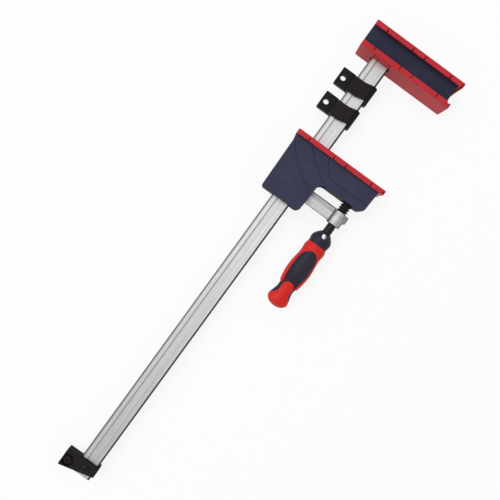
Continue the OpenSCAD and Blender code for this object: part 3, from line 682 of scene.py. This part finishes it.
def housingOutline(s, gap=0.005):
    # down the back, round the foot, up to the arch, along the beam, up the tip and back along the top
    (toeX, toeR), (archX, archR), (noseX, noseR) = s.toe, s.arch, s.nose
    rail = doubled([-s.railX, s.railX], gap)
    legX = toeX + (archX - toeX) * (s.windowFoot - s.footY) / (s.beamY - s.footY)
    hole = s.spindleX - s.spindleR * np.cos(np.linspace(0, np.pi, 17))
    close = np.linspace(*s.runOut, 11)      # close points where a groove runs out
    closeX = noseX + (s.tipX - noseX) * (close - s.beamY) / (s.shoulderY - s.beamY)
    rows = [(s.backX, s.topY, 0), (s.backX, s.shoulderY, 0), s.waist, (s.heel[0], s.footY, s.heel[1])]
    rows += [(x, s.footY, 0) for x in rail] + [(toeX, s.footY, toeR)]
    rows += [(legX, y, 0) for y in doubled([s.windowFoot], gap)] + [(archX, s.beamY, archR)]
    rows += [(x, s.beamY, 0) for x in (*doubled([s.windowX], gap), *hole)] + [(noseX, s.beamY, noseR)]
    rows += [(x, y, 0) for x, y in zip(closeX, close)]
    rows += [(s.tipX, s.shoulderY, 0), (s.tipX, s.topY, 0)] + [(x, s.topY, 0) for x in rail[::-1]]
    rows = np.array(rows)
    outline = roundedLoop(rows[:, :2], rows[:, 2], 11)
    x, y = outline.T
    # height of the wall's seam edge: it lifts round the rail, the arm's window and the spindle
    near = 0.1
    seam = np.zeros(len(outline))
    seam[(np.abs(x) < s.railX) & ((y < s.footY + near) | (y > s.topY - near))] = s.railZ
    seam[(x > 0) & (x < s.windowX) & (y > s.windowFoot) & (y < s.beamY + near)] = s.windowZ
    bore = (np.abs(y - s.beamY) < near) & (np.abs(x - s.spindleX) < s.spindleR + 0.01)
    seam[bore] = np.sqrt(np.clip(s.spindleR ** 2 - (x[bore] - s.spindleX) ** 2, 0, None))
    return outline, seam


def grooveDepth(flat, lines, face, pockets, s):
    # rounded trough by distance from each line, run out at its ends, at the face's edge and round the pockets
    depth = np.zeros(len(flat))
    for line in lines:
        gap, along = wayTo(flat, line)
        fade = np.clip(np.minimum(along, 1 - along) / s.grooveEnd, 0, 1)
        depth = np.maximum(depth, fade * np.clip(1 - (gap / s.grooveWide) ** 2, 0, 1) ** 0.8)
    start, run = s.edgeFade
    depth *= s.grooveDeep * np.clip((gapTo(flat, [closedLine(face)]) - start) / run, 0, 1)
    for pocket in pockets:
        depth *= np.clip(gapTo(flat, [closedLine(pocket)]) / s.pocketFade, 0, 1)
    return depth


def housingShell(s, screwPockets):
    # a wall section carried round the outline, a flat inner face and an outer face sunk along the grooves
    outline, seam = housingOutline(s)
    # wall section: inner wall, seam edge, outer wall, rounded edge
    a = np.radians(np.linspace(0, 90, 7))
    insets = np.concatenate([[s.wall, s.wall, s.seam, 0], s.edge * (1 - np.cos(a))])
    heights = np.concatenate([[s.half - s.wall, 0, 0, s.seam], s.half - s.edge * (1 - np.sin(a))])
    bySeam = np.array([0, 1, 1, 1] + [0] * len(a))
    ring = np.stack([offsetLoop(outline, -inset) for inset in insets], 1)
    parts = [surface(lifted(ring, heights + bySeam * seam[:, None]), wrapRows=True)]
    parts.append(flatPatch([ring[:, 0]], s.half - s.wall))
    # outer face: points follow each groove in rows, a grid fills the rest
    face = ring[:, -1]
    pockets = [circle(c, s.screwR, 28) for c in s.screws] if screwPockets else []
    lines = [evenly(smoothLine(groove), 120) for groove in s.grooves]
    fill = fillPoints([face, *pockets], s.gridStep, s.gridMargin)
    extra = [fill[gapTo(fill, lines) > s.lineMargin * s.grooveWide]]
    beside = np.linspace(-s.lineReach, s.lineReach, 9) * s.grooveWide
    extra += [besideLine(line, beside) for line in lines]
    extra = np.concatenate(extra)
    clear = within(extra, [face, *[offsetLoop(pocket, s.pocketMargin) for pocket in pockets]])
    clear &= gapTo(extra, [closedLine(face)]) > s.edgeMargin
    flat, faces = patch([face, *pockets], extra[clear])
    parts.append((lifted(flat, s.half - grooveDepth(flat, lines, face, pockets, s)), faces))
    for pocket in pockets:
        ends = [lifted(pocket, z) for z in (s.half, s.half - s.screwDeep)]
        points, faces = surface(np.stack(ends), wrapCols=True, caps=True)
        parts.append((points, faces[:-2] + faces[-1:]))      # the pocket's mouth stays open
    # flange that the pad's lip grips
    flange = rectangle((s.flangeX[0], -s.flangeHigh), (s.flangeX[1], s.topY), s.flangeR, 4)
    parts.append(plate(flange, [], s.half - s.flangeRoot, s.flangeHalf, s.flangeEdge))
    return joined(*parts)


makePiece("movingJawFrontShell", housingShell(housing, False), movingFace, "moving_jaw", jawNavy,
          ["moving_jaw_front_shell"])
makePiece("movingJawBackShell", moved(housingShell(housing, True), flip=(1, 1, -1)), movingFace, "moving_jaw",
          jawNavy, ["moving_jaw_back_shell"])


# rail supports: a sleeve with one rounded side and a scooped end, and a drilled ear

supportShape = Sizes(long=27.8, half=18.5, thick=8.5, round=6.2, back=1.2, wall=3.7, edge=0.6,
                     innerX=14.8, innerZ=4.8, innerR=1.6, creaseX=11.6, creaseTo=11.8, crease=0.3,
                     broad=6.0, stations=15, scoop=(-3.0, 15.0, 3.0), tuckEnd=(11.5, 14.5),
                     tuck=((-22.0, -18.5, 2.8), (-17.5, -14.5, -0.9), (-4.0, 11.0, 3.0)),
                     earTo=-37.0, earRoot=-17.6, earThick=4.0, earTop=-1.0, earFoot=-26.6, earR=1.4,
                     earEdge=0.5, holeX=-29.4, holeR=4.1)


def supportSurface(s):
    # wall section carried round the sleeve: the outer outline blends into the inner one across the wall
    def around(wide, high, step, left, right):
        # outline at one depth of the wall, stepped at the crease
        side = [(s.creaseX, -high), (s.creaseTo, step - high), (wide, step - high)]
        corners = [(-wide, -high), *side, *[(x, -z) for x, z in side[::-1]], (-wide, high)]
        return closedLine(roundedLoop(corners, [left, 0, 0, right, right, 0, 0, left], 12))

    outer = around(s.half, s.thick, s.crease, s.back, s.round)
    inner = around(s.innerX, s.innerZ, 0, s.innerR, s.innerR)
    # more stations on the broad sides, so that the ends can curve
    runs = np.linalg.norm(np.diff(outer, axis=0), axis=1)
    counts = np.where(runs > s.broad, s.stations, 2)
    share = np.concatenate([np.linspace(k, k + 1, count)[:-1] for k, count in enumerate(counts)])
    outer, inner = (columns(*[np.interp(share, np.arange(len(loop)), axis) for axis in loop.T])
                    for loop in (outer, inner))
    e, w = s.edge, s.wall
    bend = e * (1 - np.sqrt(0.5))
    inset = np.array([0, 0, bend, e, w - e, w, w, w - e, e, bend])
    level = np.array([e, -e, -bend, 0, 0, -e, e, 0, 0, bend])
    atTop = np.array([0, 1, 1, 1, 1, 1, 0, 0, 0, 0])
    ring = between(outer, inner, inset / w)
    x = ring[..., 0]
    # the upper end is low beside the ear and rises to the far side, the lower end is cut up towards it
    riseFrom, riseTo, scoopDeep = s.scoop
    scoop = scoopDeep * (1 - eased(x, riseFrom, riseTo))
    tuck = sum(deep * eased(x, start, end) for start, end, deep in s.tuck) * (1 - eased(x, *s.tuckEnd))
    y = level - atTop * scoop - (1 - atTop) * (s.long - tuck)
    sleeve = surface(columns(x, y, ring[..., 1]), wrapRows=True, wrapCols=True)
    ear = rectangle((s.earTo, s.earFoot), (s.earRoot, s.earTop), (s.earR, 0, 0, s.earR), 6)
    hole = circle((s.holeX, -s.long / 2), s.holeR)
    return joined(sleeve, plate(ear, [hole], -s.earThick, s.earThick, s.earEdge))


for word, body in (("upper", "upper_support"), ("lower", "lower_support")):
    top = (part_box(word + "_rail_support")[1][1] - fixedFace) / mm
    makePiece(word + "RailSupport", moved(supportSurface(supportShape), (0, top, 0)), fixedFace, body,
              supportBlack, [word + "_rail_support"])


# end stop: a sleeve round the rail's end with a slanted foot, a raised disc and an ear dished round its boss

stopShape = Sizes(back=-37.0, front=17.3, top=-697.93, foot=-727.07, slant=13.0, face=8.5, behind=-6.5,
                  earBehind=-2.5, split=-17.6, splitGap=0.005, bulge=0.02, corner=1.8, edge=0.8, backEdge=1.7,
                  leftEdge=6.0, leftTo=-14.5, lip=0.4, rim=1.8, dish=5.6, dishR=9.8, bossX=-28.4,
                  bossY=-713.0, bossR=5.2, holeR=3.0, pinY=-710.9, discR=7.0, discHigh=9.2, discFoot=-4.5,
                  discEdge=0.5, pinR=3.0, pinEdge=0.4, headR=6.2, headFoot=9.0, headHigh=1.6)


def stopSurface(s):
    # the outline drawn in step by step through its rounded edges, closed by flat patches
    lean = s.slant / (s.front - s.back)
    sole = lambda x: s.foot + lean * (x - s.back)
    sides = doubled([s.split], s.splitGap)
    corners = [(s.back, s.foot), *[(x, sole(x) - s.bulge) for x in sides], (s.front, sole(s.front)),
               (s.front, s.top), *[(x, s.top + s.bulge) for x in sides[::-1]], (s.back, s.top)]
    outline = roundedLoop(corners, [s.corner, 0, 0, s.corner] * 2, 7)
    inEar = outline[:, 0] < s.split
    low = np.where(inEar, s.earBehind, s.behind)[:, None]
    # rounded edge behind, wall, rounded edge in front; the sleeve reaches further back and is rounder there
    a, e = np.radians(np.linspace(0, 90, 6)), s.edge
    leftTop = (outline[:, 0] < s.leftTo) & (outline[:, 1] > s.pinY)
    backEdge = np.where(inEar, e, np.where(leftTop, s.leftEdge, s.backEdge))[:, None]
    inset = np.concatenate([backEdge * (1 - np.cos(a[::-1])), e * (1 - np.cos(a)) + 0 * backEdge], 1)
    ring = np.stack([offsetLoop(outline, -i[:, None]) for i in inset.T], 1)
    z = np.concatenate([low + backEdge * (1 - np.sin(a[::-1])), s.face - e + e * np.sin(a) + 0 * backEdge], 1)
    parts = [surface(lifted(ring, z), wrapRows=True)]
    # dish: a circle round the boss, cut by straight sides a rim's width inside the outline
    centre, way, slope = np.array([s.bossX, s.bossY]), circle((0, 0), 1, 72), math.hypot(lean, 1)
    normals = np.array([(-1, 0), (0, 1), (lean / slope, -1 / slope), (1, 0)])
    room = np.array([s.bossX - s.back - s.rim, s.top - s.bossY - s.rim,
                     (s.bossY - sole(s.bossX)) / slope - s.rim, s.split - s.bossX])
    facing = np.maximum(way @ normals.T, 0.01)      # sides that look away are out of reach
    reach = (room / facing).min(1)
    dish = centre + way * np.minimum(reach, s.dishR)[:, None]
    boss, hole = (centre + way * radius for radius in (s.bossR, s.holeR))
    mouth = offsetLoop(hole, s.lip)
    through = edgeProfile(s.earBehind, s.face, s.lip)
    wall = [(0, s.dish), *through[len(through) // 2:]]
    parts += [rim(dish[::-1], wall), rim(boss, wall), rim(hole[::-1], through)]
    parts += [flatPatch([ring[:, -1], offsetLoop(dish, s.lip)], s.face),
              flatPatch([offsetLoop(boss, -s.lip), mouth], s.face), flatPatch([dish, boss], s.dish)]
    # behind: the ear's face, the sleeve's face and the step between them
    start = int(np.argmax(inEar & ~np.roll(inEar, 1)))
    ear, sleeve = np.split(np.roll(ring[:, 0], -start, 0), [inEar.sum()])
    parts += [flatPatch([ear, mouth], s.earBehind), flatPatch([sleeve], s.behind)]
    step = np.concatenate([lifted(ear[[-1, 0]], s.earBehind), lifted(sleeve[[-1, 0]], s.behind)])
    parts.append((step, [[0, 1, 2, 3]]))
    # raised disc round the pin
    disc, bore = (circle((0, s.pinY), radius, 48) for radius in (s.discR, s.pinR))
    return joined(*parts, plate(disc, [bore], s.discFoot, s.discHigh, s.discEdge))


def pinSurface(s):
    # straight pin with a domed head: circles from the far end to the crown
    a = np.linspace(0, np.pi / 2, 9)
    radii = np.concatenate([[0, s.pinR - s.pinEdge, s.pinR, s.pinR], s.headR * np.cos(a)])
    shaft = [s.behind, s.behind, s.behind + s.pinEdge, s.headFoot]
    z = np.concatenate([shaft, s.headFoot + s.headHigh * np.sin(a)])
    points, faces = turned(0, radii, z, 48)
    return points[:, [0, 2, 1]] + [0, s.pinY, 0], faces


makePiece("endStop", stopSurface(stopShape), fixedFace, "bar_frame", stopBlack, ["end_stop"])
makePiece("endStopPin", pinSurface(stopShape), fixedFace, "bar_frame", pinBlack,
          ["end_stop_pin"])


# slide arm: an eye round the rail, a ridged bar, a turned boss and a short lug

armShape = Sizes(top=-56.2, foot=-75.8, edge=0.6, eyeBack=-21.1, eyeFront=23.4, eyeHalf=9.9, eyeR=1.5,
                 eyeLip=0.12, railX=14.8, railZ=4.8, railR=1.2, barFrom=21.4, barTo=70.9, barHalf=5.5,
                 barR=1.2, ridge=0.6, ridgeHigh=8.0, ridgeStep=0.5, ridgeR=0.2, bossX=79.5, bossTop=-57.3,
                 bossFoot=-78.1, bossR=10.5, bossEdge=1.0, boreR=8.2, boreEdge=0.6,
                 lugFrom=85.404, lugTo=92.6, lugHalf=6.4, lugTop=-57.8, lugFoot=-68.8, lugR=1.6, lugEdge=1.4)


def armSurface(s):
    # eye: one outline blended into another; bar and lug: sections carried along x; boss: a profile turned
    low, high, e = s.foot, s.top, s.edge
    outer = rectangle((s.eyeBack, -s.eyeHalf), (s.eyeFront, s.eyeHalf), s.eyeR, 6)
    inner = rectangle((-s.railX, -s.railZ), (s.railX, s.railZ), s.railR, 6)
    near, far = s.eyeLip, 1 - s.eyeLip
    ring = between(outer, inner, [0, 0, near, far, 1, 1, far, near])
    level = [low + e, high - e, high, high, high - e, low + e, low, low]
    eye = surface(columns(ring[..., 0], level, ring[..., 1]), wrapRows=True, wrapCols=True)
    step, wide = high - s.ridgeHigh, s.barHalf + s.ridge
    side = [(low, s.barHalf), (step - s.ridgeStep, s.barHalf), (step, wide), (high, wide)]
    radii = [s.barR, s.ridgeR, s.ridgeR, s.barR] * 2
    section = roundedLoop([(y, -z) for y, z in side] + side[::-1], radii, 6)
    c, low, high, flare = s.bossEdge, s.bossFoot, s.bossTop, s.boreR + s.boreEdge
    boss = np.concatenate([
        [(s.boreR, low + s.boreEdge), (flare, low)],
        arc((s.bossR - c, low + c), c, -90, 0, 5), arc((s.bossR - c, high - c), c, 0, 90, 5),
        [(flare, high), (s.boreR, high - s.boreEdge)]])
    lug = rectangle((s.lugFoot, -s.lugHalf), (s.lugTop, s.lugHalf), s.lugR, 6)
    return joined(eye, bar(section, s.barFrom, s.barTo), turned(s.bossX, *boss.T, 64, wrapCols=True),
                  bar(lug, s.lugFrom, s.lugTo, s.lugEdge))


makePiece("slideArm", armSurface(armShape), movingFace, "carriage", armZinc,
          ["slide_arm"])


# spindle and handle share an axis along y; heights run down from the top of the handle's head

handle = Sizes(axisX=79.5, headTop=-92.1, long=126.5, headD=14.8, bandTop=0.6, bandFoot=13.0,
               stations=((13.5, 31.2), (21.5, 29.0), (28.5, 32.0), (38.5, 30.4), (63.7, 35.0), (97.5, 24.4),
                         (115.5, 31.6)),
               socketR=6.5, socketLong=14.0, holeAt=6.3, holeR=4.0, sink=0.9, unroll=15.5,
               sleeveTop=21.5, sleeveFoot=91.5, ledge=(90.5, 28.4, 26.4), panelTop=32.8, panelArch=17.0,
               panel=((13.2, 49.8), (14.2, 63.7), (13.2, 79.0), (10.8, 91.5)),
               tongue=((8.8, 85.0, 8), (8.8, 104.0, 12), (15.9, 114.0, 0)), crown=0.8,
               proud=0.3, sunk=0.5, skin=1.6, edge=0.9, lip=0.2, lipIn=(0.05, 0.3), steps=72,
               rows=(0.1, 0.3, 0.6, 1.0), sleeveGrid=1.7, capGrid=1.5, gridMargin=1.1, edgeMargin=0.08,
               holeMargin=0.5)
tailFrom = handle.stations[-1][0]
halfWay = np.array([np.pi * handle.unroll, 0])      # unrolled points: half a turn on
mirror = np.array([-1, 1])                          # and the other way round


def handleRadius(h, s=handle):
    # sine rise over the head, smooth steps between the stations, quarter ellipse over the tail
    h = np.asarray(h, float)
    at, wide = np.array(s.stations).T
    k = np.clip(np.searchsorted(at, h, side="right") - 1, 0, len(at) - 2)
    body = wide[k] + (wide[k + 1] - wide[k]) * eased(h, at[k], at[k + 1])
    head = s.headD + (wide[0] - s.headD) * np.sin(np.pi / 2 * np.clip(h / at[0], 0, 1))
    tail = wide[-1] * np.sqrt(1 - np.clip((h - tailFrom) / (s.long - tailFrom), 0, 1) ** 2)
    return np.where(h < at[0], head, np.where(h > tailFrom, tail, body)) / 2


def sleeveRadius(h, s=handle):
    # as the core down to the belly, then it falls ever faster to a ledge and rounds in at its foot
    at, wide, end = s.ledge
    bellyAt, belly = s.stations[4]
    fall = belly - (belly - wide) * np.clip((h - bellyAt) / (at - bellyAt), 0, 1) ** 2
    fall -= (wide - end) * eased(h, at, s.sleeveFoot)
    return np.where(h > bellyAt, np.maximum(handleRadius(h), fall / 2), handleRadius(h))


def tailHeights(steps):
    # heights over the tail, closer together towards its end
    return tailFrom + (handle.long - tailFrom) * np.sin(np.linspace(0, np.pi / 2, steps))


# length along the handle's surface, so that unrolled points are evenly spread over the tail as well
heightTable = np.concatenate([np.linspace(0, tailFrom - 0.5, 400), tailHeights(120)])
runTable = np.hypot(np.diff(heightTable), np.diff(handleRadius(heightTable)))
lengthTable = np.concatenate([[0], np.cumsum(runTable)])


def wrapRound(spots, radius, s=handle):
    # unrolled (way round, height) back on to the axis
    a = spots[:, 0] / s.unroll
    return columns(s.axisX + radius * np.cos(a), s.headTop - spots[:, 1], radius * np.sin(a))


def drilledBand(radiusAt, top, foot, holeR, s=handle, steps=handle.steps):
    # unrolled wall between two heights; the cross hole along z meets it in front and behind
    way = np.linspace(-np.pi, np.pi, steps + 1) * s.unroll
    rise = np.linspace(top, foot, 16)
    loop = np.concatenate([columns(way, top), columns(way[-1], rise)[1:-1],
                           columns(way[::-1], foot), columns(way[0], rise[::-1])[1:-1]])
    across, down = circle((0, s.holeAt), holeR, 40).T
    meets = np.arccos(np.clip(across / radiusAt(down), -1, 1)) * s.unroll
    holes = [columns(meets, down), columns(-meets, down)]
    x, y = np.meshgrid(way[1:-1], rise[1:-1])
    extra = columns(x.ravel(), y.ravel())
    clear = within(extra, [loop, *holes]) & (gapTo(extra, map(closedLine, holes)) > s.holeMargin)
    spots, faces = patch([loop, *holes], extra[clear])
    skin, *mouths = (wrapRound(flat, radiusAt(flat[:, 1])) for flat in (spots, *holes))
    return (skin, faces), mouths


def coreSurface(s=handle):
    # drilled walls outside and in the socket, turned profiles above and below them
    skin, mouths = drilledBand(handleRadius, s.bandTop, s.bandFoot, s.holeR + s.sink)
    wall, seats = drilledBand(lambda h: s.socketR + 0 * h, s.bandTop, s.bandFoot, s.holeR)
    parts = [skin, wall]
    for mouth, seat in zip(mouths, seats):
        # countersink, then the straight hole down to the socket
        depth = mouth[:, 2] - np.sign(mouth[:, 2]) * s.sink
        throat = circle((0, 0), s.holeR, len(mouth)) * [1, -1] + [s.axisX, s.headTop - s.holeAt]
        parts.append(surface(np.stack([mouth, lifted(throat, depth), seat]), wrapCols=True))
    top = [(handleRadius(s.bandTop), s.bandTop), (handleRadius(s.lip) - s.lipIn[0], s.lip),
           (s.headD / 2 - s.lipIn[1], 0), (s.socketR + s.lip, 0), (s.socketR, s.lip), (s.socketR, s.bandTop)]
    lower = np.unique(np.concatenate([np.linspace(s.bandFoot, tailFrom, 120), tailHeights(24)]))
    socket = [(s.socketR, s.bandFoot), (s.socketR, s.socketLong), (0, s.socketLong)]
    for profile in (top, columns(handleRadius(lower), lower), socket):
        radii, heights = np.array(profile, float).T
        parts.append(turned(s.axisX, radii, s.headTop - heights))
    return joined(*parts)


def overmould(loop, edges, spread, s=handle):
    # unrolled patch stood proud of the core, its edges rolled down into it by a quarter round
    beside = np.outer(s.rows, (-1, 1)).ravel()
    extra = [fillPoints([loop], spread, s.gridMargin)] + [besideLine(edge, beside) for edge in edges]
    extra = np.concatenate(extra)
    clear = isInside(extra, loop) & (gapTo(extra, [closedLine(loop)]) > s.edgeMargin)
    spots, faces = patch([loop], extra[clear])
    roll = np.clip(1 - gapTo(spots, edges) / s.edge, 0, 1)
    return spots, faces, s.proud - (s.proud + s.sunk) * (1 - np.sqrt(1 - roll ** 2))


def closedSkin(spots, faces, lift, edges, radiusAt=handleRadius, crowns=(), s=handle):
    # outer skin at (way round, height), an inner one behind it, and walls between them along the edges
    def inner(flat):
        # a skin's thickness below the core's surface
        return wrapRound(flat, np.maximum(handleRadius(flat[:, 1]) - s.skin, 0.0))

    strips = [(wrapRound(edge, radiusAt(edge[:, 1]) - s.sunk), inner(edge)) for edge in edges]
    walls = [surface(np.stack(strip)) for strip in strips]
    outer = wrapRound(spots, radiusAt(spots[:, 1]) + lift)
    return joined((outer, faces), (inner(spots), faces), *walls, *crowns)


def sleeveSurface(s=handle):
    # unrolled outline with a window in front and behind, lifted and wrapped round the axis
    turn, low = halfWay[0], s.sleeveFoot
    # one side of the window as (half width, height): a quarter ellipse, then a curve down to the foot
    a = np.linspace(0, np.pi / 2, 30)
    arch = columns(s.panel[0][0] * np.sin(a), s.panelTop + s.panelArch * (1 - np.cos(a)))
    side = evenly(np.concatenate([arch[:-1], smoothLine(s.panel)]), 64)
    # way round from the handle's side to the window
    way = np.arccos(side[:, 0] / sleeveRadius(side[:, 1])) * s.unroll
    window = columns(way, side[:, 1])
    windows = [(window * mirror + halfWay)[::-1], window, (window * mirror)[::-1], window - halfWay]
    ends = ((turn, turn - way[-1]), (way[-1], -way[-1]), (way[-1] - turn, -turn))
    feet = [columns(np.linspace(start, end, 14), low) for start, end in ends]
    top = columns(np.linspace(-turn, turn, s.steps + 1), s.sleeveTop)
    ledge = s.ledge[0]
    down = np.concatenate([np.linspace(s.sleeveTop, ledge, 42), np.linspace(ledge, low, 6)[1:]])
    right = columns(turn, down)
    edges = [top, np.concatenate([feet[0], windows[0][1:], windows[1][1:]]), feet[1],
             np.concatenate([windows[2], windows[3][1:], feet[2][1:]])]
    runs = (top, right, feet[0], *windows[:2], feet[1], *windows[2:], feet[2], right[::-1] * mirror)
    spots, faces, lift = overmould(np.concatenate([run[:-1] for run in runs]), edges, s.sleeveGrid)
    return closedSkin(spots, faces, lift, [top, *feet, *windows], sleeveRadius)


def capSurface(s=handle):
    # one side of the tongue as (half width, height), carried round by surface length in place of height
    turn = halfWay[0]
    corners = np.array([(0.0, s.tongue[0][1], 0), *s.tongue])
    side = evenly(roundedLoop(corners[:, :2], corners[:, 2], 14), 60)
    side[:, 0] = np.minimum(side[:, 0], handleRadius(side[:, 1]))
    side[-1, 0] = handleRadius(side[-1, 1])
    way = np.arccos(np.clip(side[:, 0] / handleRadius(side[:, 1]), -1, 1)) * s.unroll
    half = columns(way, np.interp(side[:, 1], heightTable, lengthTable))
    other = half * mirror
    upper = np.concatenate([(half - halfWay)[::-1], other[1:], half[::-1][1:], (other + halfWay)[1:]])
    end = lengthTable[-1] - s.crown
    right = columns(turn, np.linspace(half[-1, 1], end, 14))
    base = columns(np.linspace(turn, -turn, s.steps + 1), end)
    runs = (upper, right, base, right[::-1] * mirror)
    spots, faces, lift = overmould(np.concatenate([run[:-1] for run in runs]), [upper], s.capGrid)

    def atHeight(flat):
        # surface length back to height
        return columns(flat[:, 0], np.interp(flat[:, 1], lengthTable, heightTable))

    # small crowns close both skins at the pole
    ring = atHeight(base[:-1])
    r = handleRadius(ring[:, 1])
    crowns = [(wrapRound(ring, radius), [list(range(len(ring)))])
              for radius in (r + s.proud, np.maximum(r - s.skin, 0.0))]
    return closedSkin(atHeight(spots), faces, lift, [atHeight(upper)], crowns=crowns)


makePiece("handleCore", coreSurface(), movingFace, "spindle", handleNavy, ["handle_core"])
makePiece("gripSleeve", sleeveSurface(), movingFace, "spindle", gripRed, ["grip_sleeve"])
makePiece("tailCap", capSurface(), movingFace, "spindle", gripRed, ["tail_cap"])


# spindle: the thread is a wave of the radius that climbs one pitch a turn, run out at both ends

screwShape = Sizes(crestR=7.9, rootR=5.8, pitch=4.0, threadTop=-39.9, threadFoot=-79.9, start=0.25,
                   crest=0.15, flank=0.2, runOut=0.6, rings=161, steps=48, shankR=6.4, shoulder=(0.02, 0.3),
                   noseTop=-21.4, nose=4.0, noseEdge=0.8, clipLong=1.8, grooveR=4.9, footEdge=0.4, play=0.05,
                   tangHalf=4.5, tangIn=0.2, tangFoot=70.0, tangR=0.8)


def spindleSurface(s, grip=handle):
    # thread: root radius plus a wave of height and angle with flat crests; the rest: profiles turned
    x, headTop, steps = grip.axisX, grip.headTop, s.steps
    a = np.linspace(-np.pi, np.pi, steps + 1)[:-1, None]
    y = np.linspace(s.threadFoot, s.threadTop, s.rings)
    phase = (y / s.pitch + a / (2 * np.pi) - s.start) % 1
    flank = np.clip((np.abs(phase - 0.5) - s.crest) / s.flank, 0, 1)      # 0 on the crest, 1 in the root
    ramp = np.clip(np.minimum(s.threadTop - y, y - s.threadFoot) / (s.pitch * s.runOut), 0, 1)
    thread = turned(x, s.rootR + (s.crestR - s.rootR) * (1 - flank) * ramp, y, steps)
    holeR = grip.holeR + s.play
    shank, mouths = drilledBand(lambda h: s.shankR + 0 * h, 0.0, grip.bandFoot, holeR, steps=steps)
    r, nose, seat, end = s.shankR, s.noseTop, s.noseTop - s.nose, headTop - grip.bandFoot
    upper = [(0, nose), (r - s.noseEdge, nose), (r, nose - s.noseEdge), (r, seat), (s.grooveR, seat),
             (s.grooveR, seat - s.clipLong), (r, seat - s.clipLong), (r, s.threadTop + s.shoulder[0]),
             (s.rootR, s.threadTop)]
    lower = [(s.rootR, s.threadFoot), (r, s.threadFoot - s.shoulder[1]), (r, headTop)]
    foot = [(r, end), (r - s.footEdge, end - s.footEdge), (0, end - s.footEdge)]
    bands = [turned(x, *np.array(profile).T, steps) for profile in (upper, lower, foot)]
    tang = rectangle((-s.tangHalf, -s.tangHalf), (s.tangHalf, s.tangHalf), s.tangR, 4)
    ends = [columns(x + tang[:, 0], level, tang[:, 1]) for level in (end - s.tangIn, headTop - s.tangFoot)]
    return joined(thread, *bands, shank, surface(np.stack(mouths), wrapCols=True),
                  surface(np.stack(ends), wrapCols=True, caps=True))


makePiece("spindleScrew", spindleSurface(screwShape), movingFace, "spindle", blackOxide,
          ["spindle"])


# nodes whose solids already have the right shape only take a finish

keptFinish = dict(fixed_jaw_core=castCore, fixed_jaw_pins=brightSteel, brake_spring=brightSteel,
                  moving_jaw_core=castCore, moving_jaw_screws=brightSteel, upper_guide_shoes=shoeWhite,
                  lower_guide_shoes=shoeWhite, thrust_cup=bronze, spindle_bush=bronze,
                  retaining_clip=brightSteel)
for word, material in keptFinish.items():
    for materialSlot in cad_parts[word].material_slots:
        materialSlot.material = material
print("kept solids finished:", len(keptFinish))


# studio: pale floor that keeps a soft shadow, even white surround, one broad light from the upper left

studio = Sizes(floorSize=9.0, floorTone=0.93, floorShare=0.86, surround=0.58,
               lampAt=(-1.7, 0.4, 2.6), lampSize=2.0, lampPower=48.0)

floorMesh = bpy.data.meshes.new("studioFloor")
edge = studio.floorSize / 2
floorCorners = [(x * edge, y * edge, 0) for x, y in ((-1, -1), (1, -1), (1, 1), (-1, 1))]
floorMesh.from_pydata(floorCorners, [], [(0, 1, 2, 3)])
floor = bpy.data.objects.new("studioFloor", floorMesh)
scene.collection.objects.link(floor)


def viewRays(tree):
    # 1 for rays from the camera, from gloss and through glass
    path = addNode(tree, "LightPath").outputs
    first = addNode(tree, "Math", {0: path["Is Camera Ray"], 1: path["Is Glossy Ray"]}, operation="MAXIMUM")
    last = addNode(tree, "Math", {0: first.outputs[0], 1: path["Is Transmission Ray"]}, operation="MAXIMUM")
    return last.outputs[0]


paper = bpy.data.materials.new("studioPaper")
paper.use_nodes = True
tree = paper.node_tree
tree.nodes.clear()
share = addNode(tree, "Math", {0: viewRays(tree), 1: studio.floorShare}, operation="MULTIPLY")
matt = addNode(tree, "BsdfDiffuse", {"Color": (*[studio.floorTone] * 3, 1)})
glow = addNode(tree, "Emission", {"Strength": 1.0})
mix = addNode(tree, "MixShader", {0: share.outputs[0], 1: matt.outputs[0], 2: glow.outputs[0]})
addNode(tree, "OutputMaterial", {0: mix.outputs[0]})
floorMesh.materials.append(paper)

world = bpy.data.worlds.new("studioSurround")
scene.world = world
world.use_nodes = True
tree = world.node_tree
tree.nodes.clear()
level = addNode(tree, "MapRange", {"Value": viewRays(tree), "To Min": studio.surround, "To Max": 1.0})
room = addNode(tree, "Background", {"Color": (1, 1, 1, 1), "Strength": level.outputs[0]})
addNode(tree, "OutputWorld", {0: room.outputs[0]})

lampData = bpy.data.lights.new("softBox", "AREA")
lampData.size = studio.lampSize
lampData.energy = studio.lampPower
lamp = bpy.data.objects.new("softBox", lampData)
scene.collection.objects.link(lamp)
lamp.location = studio.lampAt
lamp.rotation_euler = (Vector((0, 0, 0)) - lamp.location).to_track_quat("-Z", "Y").to_euler()

cameraShape = Sizes(at=(-5.7, -274.97, 658.84), turn=(-3.2436, 1.0431, 36.0333), lens=33.512, sensor=36)
cameraData = bpy.data.cameras.new("photoCamera")
cameraData.sensor_width = cameraShape.sensor
cameraData.lens = cameraShape.lens
cameraData.clip_start = 0.01
camera = bpy.data.objects.new("photoCamera", cameraData)
scene.collection.objects.link(camera)
camera.location = np.array(cameraShape.at) * mm + [railX, fixedFace, midZ]
camera.rotation_euler = [math.radians(a) for a in cameraShape.turn]
scene.camera = camera
scene.view_settings.view_transform = "Standard"
print("studio ready")
